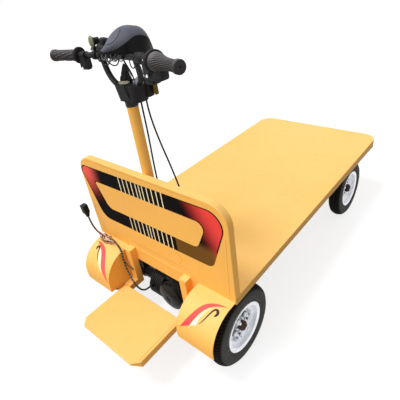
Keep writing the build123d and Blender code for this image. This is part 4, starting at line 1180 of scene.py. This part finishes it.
def add_bell():
    """A shallow dome turned about the bell's own axis, with a black back, a striker, a stem, a lever and a
    clamp round the bar, and the lumpy fitting beside it."""
    bend, axes = bar_axes(-1)
    foot = bend + axes[:, 2] * BELL_REACH
    centre = foot + (0, 0, BELL_LIFT)
    facing = axes_along((-math.sin(BELL_TURN), -math.cos(BELL_TURN), 0))
    swing = np.linspace(0, math.pi / 2 - 0.05, 14)
    dome = np.concatenate([[(0, 18), (0, 21), (1.5, 21.3)],
                           np.stack([1.5 + 9 * np.sin(swing), 21 * np.cos(swing) ** 0.8], axis=1)])
    shown = add_copies("bell_dome", turned(dome, 48), [(centre, facing)], "brass", "steering")
    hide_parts("bell")
    add_copies("bell_back", turned(BELL_BACK, 32), [(centre, facing)], "plastic", "steering")
    add_copies("bell_clamp", turned(BELL_CLAMP, 32), [(foot, axes)], "plastic", "steering")
    add_block("bell_striker", (14, 9, 16), centre + (-16, 2, -24), (0.3, 0, 1), 3, "zinc")
    add_block("bell_stem", (11, 11, 36), foot + (0, 3, 30))
    add_block("bell_lever", (30, 7, 9), centre + (20, 10, -10), (0.2, 0.3, 1))
    chunks = [(place, axes_along(lean)) for place, lean in NEIGHBOUR_CHUNKS]
    add_copies("bell_neighbour", soft_block((46, 36, 36), power=3.5), chunks, "plastic", "steering")


SCREW_PROFILE = ((0, 5.2), (2.6, 5.2), (3.6, 4.2), (3.6, 2.6), (1.6, 2.2))
POD_SCREWS = (
    # side, way out along the bar, place from there
    (-1, 90, (0, -17, -44)),
    (1, 80, (0, -23, -44)),
    (1, 80, (0, -23, 6)),
)
SWITCH_BLOCKS = (
    # name, size, place
    ("switch_block", (80, 44, 40), (200, -640, 1285)),
    ("switch_step", (44, 36, 26), (228, -648, 1290)),
    ("switch_foot", (44, 40, 26), (172, -636, 1262)),
)


def add_pod_fittings():
    """Screws on the pods, and beside the right one the stepped blocks of its switch."""
    rearward = axes_along((0, -1, 0))
    places = []
    for side, out, offset in POD_SCREWS:
        bend, axes = bar_axes(side)
        places.append((bend + axes[:, 2] * out + offset, rearward))
    add_copies("pod_screws", turned(SCREW_PROFILE, 18), places, "zinc", "steering")
    for name, size, place in SWITCH_BLOCKS:
        add_block(name, size, place, power=6)


BOOT_RADIUS, BOOT_NECK, BOOT_HEIGHT = 24, 3.5, 78
STICK_ENDS = ((-31, -581, 1296), (-4, -580, 1244))
STICK_RADIUS = 3.2


def add_tub_contents():
    """What shows in the open tub: a crumpled cream sleeve, a clear cover, two blocks, and a stick in a boot
    whose radius falls off with the height and crumples in two waves."""
    add_block("tub_sleeve", (62, 20, 10), (-40, -608, 1223), (0.1, -0.15, 1), 3, "connector")
    add_block("tub_cover", (62, 44, 16), (30, -569, 1228), (0.06, -0.25, 1), finish="clear")
    add_block("tub_block", (96, 60, 34), (0, -590, 1200))
    add_block("tub_side", (34, 50, 66), (48, -566, 1204), (0.12, 0, 1), 7)
    height = np.linspace(0, 1, 34)[:, None]
    angle = 2 * math.pi * np.arange(48)[None] / 48
    radius = BOOT_RADIUS * (1 - height) ** 0.75 + BOOT_NECK
    radius = radius * (1 + 0.24 * np.sin(3 * angle + 4 * height) + 0.10 * np.sin(7 * angle - 9 * height))
    boot = np.stack([-44 + 10 * height + radius * np.cos(angle),
                     -580 - 2 * height + 0.8 * radius * np.sin(angle),
                     1208 + BOOT_HEIGHT * height + 3 * np.sin(14 * height + 2 * angle)], axis=-1)
    add_closed("tub_boot", boot, "plastic", "steering")
    add_closed("tub_stick", tube(np.linspace(*STICK_ENDS, 12), STICK_RADIUS, 10), "plastic", "steering")


# Cords

def route_of(points):
    """The points along an open NURBS spline of order three, as Blender draws it, in millimetres."""
    curve = bpy.data.curves.new("route", "CURVE")
    curve.dimensions = "3D"
    spline = curve.splines.new("NURBS")
    spots = np.array(points, float) * MM
    spline.points.add(len(spots) - 1)
    spline.points.foreach_set("co", np.concatenate([spots, np.ones((len(spots), 1))], axis=1).ravel())
    spline.order_u = 3
    spline.use_endpoint_u = True
    spline.resolution_u = 8
    guide = bpy.data.objects.new("route", curve)
    drawn = bpy.data.meshes.new_from_object(guide)
    path = np.empty(len(drawn.vertices) * 3)
    drawn.vertices.foreach_get("co", path)
    bpy.data.meshes.remove(drawn)
    bpy.data.objects.remove(guide)
    bpy.data.curves.remove(curve)
    return path.reshape(-1, 3) / MM


def add_cord(name, points, diameter, finish, body, reference=(0.5, 0.8, 0.33)):
    """A round tube carried along its route's spline; one that rides on no body, running between the chassis
    and the steering, has its place baked into its points."""
    path = route_of(points)
    cord = add_closed(name, tube(path, diameter / 2, 14, reference), finish, body)
    if body is None:
        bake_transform(cord)
    return cord


CABLE_DIAMETER = 7
CABLES = {
    "left": ((12, -578, 1161), (12, -578, 1105), (9, -575, 1000), (6, -577, 880), (4, -575, 760),
             (5, -577, 640), (8, -578, 530), (8, -578, 416)),
    "right": ((45, -578, 1161), (45, -578, 1108), (62, -571, 1000), (92, -561, 880), (117, -553, 760),
              (130, -548, 640), (132, -547, 530), (132, -547, 416)),
}
LEAD_DIAMETER = 9
LEAD = ((-70, -700, 215), (-70, -723, 215), (-78, -738, 217), (-93, -746, 221), (-118, -747, 229),
        (-145, -742, 238), (-169, -735, 250), (-187, -730, 268), (-198, -728, 295), (-202, -727, 327),
        (-203, -727, 360), (-203, -725, 391), (-212, -722, 405), (-227, -717, 413), (-253, -708, 408),
        (-283, -697, 402), (-316, -690, 401), (-351, -693, 401), (-386, -699, 406), (-416, -706, 424),
        (-431, -712, 456), (-437, -715, 492), (-440, -716, 524))


def add_cables_and_lead():
    """The two control cables, which run between the fixed deck and the turning tub, and the charging lead."""
    for name, points in CABLES.items():
        cable = add_cord(f"cable_{name}", points, CABLE_DIAMETER, "cord", None,
                         (1, 0, 0))
        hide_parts(f"control_cable_{name}")
    lead = add_cord("lead_cord", LEAD, LEAD_DIAMETER, "lead", "chassis")
    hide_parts("charging_lead")


WIRES = (
    # name, body, finish, diameter, points of the route
    ("wire_loop_brown", "chassis", "wire_brown", 4.5,
     ((-300, -695, 404), (-318, -708, 401), (-340, -716, 398), (-362, -712, 400), (-376, -698, 401),
      (-370, -684, 399), (-350, -678, 398), (-330, -686, 399), (-312, -698, 403))),
    ("wire_loop_white", "chassis", "wire_white", 4,
     ((-330, -692, 407), (-346, -704, 405), (-364, -716, 399), (-384, -716, 397), (-396, -704, 399),
      (-390, -692, 404), (-374, -692, 409))),
    ("wire_loop_red", "chassis", "wire_red", 4,
     ((-290, -694, 406), (-304, -710, 402), (-322, -722, 397), (-344, -726, 396), (-366, -724, 397),
      (-386, -716, 402), (-402, -706, 414))),
    ("wire_loop_olive", "chassis", "wire_olive", 4,
     ((-268, -702, 409), (-286, -716, 403), (-306, -718, 398), (-320, -704, 399), (-338, -690, 406),
      (-356, -684, 406), (-372, -694, 407))),
    ("wire_loop_dark", "chassis", "cord", 4.5,
     ((-312, -702, 407), (-330, -720, 402), (-352, -724, 404), (-372, -712, 412), (-384, -700, 418),
      (-378, -690, 414), (-360, -688, 410))),
    ("wire_tail_red", "chassis", "wire_red", 4,
     ((-320, -690, 410), (-342, -700, 414), (-364, -704, 418), (-388, -704, 424), (-406, -708, 434),
      (-416, -710, 446))),
    ("wire_tail_white", "chassis", "wire_white", 4,
     ((-292, -700, 409), (-314, -712, 410), (-338, -710, 414), (-360, -700, 416), (-380, -698, 420),
      (-398, -704, 428))),
    ("wire_tail_brown", "chassis", "wire_brown", 4.5,
     ((-276, -706, 410), (-296, -704, 414), (-316, -696, 413), (-340, -690, 412), (-364, -690, 412),
      (-390, -698, 416), (-408, -706, 424))),
    ("wire_band", "chassis", "wire_white", 4,
     ((-342, -676, 400), (-340, -682, 412), (-342, -694, 416), (-346, -706, 412), (-350, -714, 400),
      (-352, -722, 396))),
    ("wire_second", "chassis", "wire_olive", 5,
     ((-262, -704, 411), (-240, -716, 412), (-222, -720, 404), (-214, -722, 384), (-208, -724, 350),
      (-196, -722, 316), (-184, -714, 292), (-172, -709, 278))),
    ("wire_post_loop", "chassis", "wire_brown", 4.5,
     ((-186, -709, 296), (-180, -713, 302), (-172, -713, 298), (-169, -711, 286), (-174, -710, 276),
      (-182, -709, 282))),
    ("hood_wire_1", "steering", "cord", 4.5,
     ((-86, -604, 1346), (-82, -600, 1316), (-66, -596, 1300), (-46, -592, 1306), (-30, -588, 1318),
      (-18, -584, 1336))),
    ("hood_wire_2", "steering", "cord", 4,
     ((-70, -600, 1346), (-62, -596, 1318), (-52, -590, 1300), (-36, -586, 1296), (-24, -584, 1308),
      (-20, -582, 1334))),
    ("hood_wire_3", "steering", "wire_white", 4,
     ((-58, -604, 1344), (-56, -602, 1322), (-46, -598, 1308), (-34, -594, 1312), (-26, -590, 1330))),
    ("hood_wire_4", "steering", "cord", 4,
     ((14, -588, 1326), (10, -590, 1300), (16, -592, 1280), (30, -592, 1276), (40, -590, 1290),
      (38, -588, 1316))),
    ("hood_wire_5", "steering", "cord", 5,
     ((-34, -588, 1334), (-30, -586, 1306), (-12, -584, 1276), (2, -582, 1246), (8, -582, 1222))),
    ("hood_wire_6", "steering", "cord", 5,
     ((20, -584, 1330), (24, -584, 1300), (30, -582, 1268), (30, -580, 1240), (28, -580, 1222))),
    ("hood_wire_7", "steering", "wire_clear", 4,
     ((-64, -640, 1338), (-56, -644, 1318), (-40, -644, 1306), (-24, -641, 1312), (-10, -637, 1322),
      (2, -632, 1338))),
    ("hood_wire_8", "steering", "cord", 5,
     ((-92, -636, 1336), (-88, -642, 1314), (-72, -645, 1300), (-52, -645, 1296), (-34, -642, 1304),
      (-22, -636, 1334))),
    ("hood_wire_9", "steering", "wire_clear", 4.5,
     ((-66, -642, 1340), (-70, -646, 1324), (-58, -648, 1314), (-42, -647, 1320), (-40, -644, 1332),
      (-52, -641, 1340))),
    ("hood_wire_10", "steering", "cord", 4.5,
     ((-48, -640, 1340), (-44, -644, 1316), (-26, -644, 1300), (-6, -641, 1296), (10, -636, 1306),
      (16, -630, 1332))),
    ("hood_wire_11", "steering", "wire_clear", 4,
     ((-24, -638, 1338), (-20, -642, 1318), (-6, -641, 1310), (8, -637, 1316), (12, -632, 1334))),
    ("hood_wire_12", "steering", "cord", 6,
     ((-100, -634, 1338), (-98, -642, 1318), (-86, -646, 1306), (-66, -645, 1318), (-54, -642, 1336))),
    ("tub_wire", "steering", "cord", 5,
     ((10, -632, 1226), (12, -640, 1228), (15, -641, 1214), (18, -638, 1194), (21, -632, 1174))),
)


def add_wires():
    """Thin loose wires, each a tube of its own that leaves the lead or a fitting and goes back into one."""
    for name, body, finish, diameter, points in WIRES:
        add_cord(name, points, diameter, finish, body)


# Camera, floor and light

def build_camera():
    """A camera at the photograph's place, turn and focal length."""
    data = bpy.data.cameras.new("photo_camera")
    data.sensor_width = SENSOR_MM
    data.lens = SENSOR_MM * FOCAL_PIXELS / IMAGE_SIZE
    data.shift_x = (IMAGE_SIZE / 2 - OPTICAL_CENTRE[0]) / IMAGE_SIZE
    data.shift_y = (OPTICAL_CENTRE[1] - IMAGE_SIZE / 2) / IMAGE_SIZE
    camera = bpy.data.objects.new("photo_camera", data)
    camera.location = CAMERA_PLACE
    camera.rotation_euler = [math.radians(angle) for angle in CAMERA_TURN_DEG]
    bpy.context.scene.collection.objects.link(camera)
    bpy.context.scene.camera = camera


FLOOR_HALF = 30.0
FLOOR_BOUNCE = 0.38
FLOOR_GLOW = 0.68
SKY_STRENGTH = 0.42
LAMPS = (
    # name, strength, softness, tilt from upright and turn about the height, in degrees
    ("key", 1.2, 16, 22, -40),
    ("open_key", 0.75, 40, 22, -40),
    ("fill", 0.95, 60, 58, -8),
)


def build_floor():
    """A plain pale floor that takes the cart's shadow and shows white to the camera and in reflections."""
    spots = np.array([(-1, -1, 0), (1, -1, 0), (1, 1, 0), (-1, 1, 0)]) * FLOOR_HALF
    mesh = bpy.data.meshes.new("floor")
    mesh.from_pydata(spots.tolist(), [], [(0, 1, 2, 3)])
    material = bpy.data.materials.new("pale_floor")
    material.use_nodes = True
    tree = material.node_tree
    tree.nodes.remove(tree.nodes["Principled BSDF"])
    strength = times(tree, seen_directly(tree), FLOOR_GLOW)
    matt = node(tree, "BsdfDiffuse", {"Color": (FLOOR_BOUNCE, FLOOR_BOUNCE, FLOOR_BOUNCE, 1)})
    glow = node(tree, "Emission", {"Color": (1, 1, 1, 1), "Strength": strength})
    both = node(tree, "AddShader", {0: matt.outputs[0], 1: glow.outputs[0]})
    tree.links.new(both.outputs[0], tree.nodes["Material Output"].inputs["Surface"])
    mesh.materials.append(material)
    floor = bpy.data.objects.new("floor", mesh)
    bpy.context.scene.collection.objects.link(floor)


def build_light():
    """An even white sky, a soft high key from the rear left, the same key again without shadow, and a broad
    low fill; the background shows white."""
    world = bpy.data.worlds.new("soft_light")
    bpy.context.scene.world = world
    world.use_nodes = True
    tree = world.node_tree
    sky = node(tree, "Mix", {0: seen_directly(tree), 2: SKY_STRENGTH, 3: 1.0}).outputs[0]
    background = tree.nodes["Background"]
    background.inputs["Color"].default_value = (1, 1, 1, 1)
    tree.links.new(sky, background.inputs["Strength"])
    for name, strength, softness, tilt, turn in LAMPS:
        sun = bpy.data.lights.new(name, "SUN")
        sun.energy = strength
        sun.angle = math.radians(softness)
        sun.use_shadow = name == "key"
        lamp = bpy.data.objects.new(name, sun)
        lamp.rotation_euler = (math.radians(tilt), 0.0, math.radians(turn))
        bpy.context.scene.collection.objects.link(lamp)


build_camera()
finish_nodes()
add_cables_and_lead()
add_wires()
add_panel_ring()
add_panel_lines()
add_seams()
add_fender_stripes()
for wheel in WHEELS:
    add_tyre(*wheel)
    add_wheel_fittings(*wheel)
add_deck_lip()
add_footboard_folds()
add_drive_details()
add_fender_skirt()
add_handlebar()
for grip_row in GRIPS:
    add_grip(*grip_row)
add_hood_shell()
add_oval_face()
add_hood_lower_body()
add_headlamp_lens()
add_bell()
add_pod_fittings()
add_tub_contents()
build_floor()
build_light()
bpy.context.scene.view_settings.view_transform = "Standard"
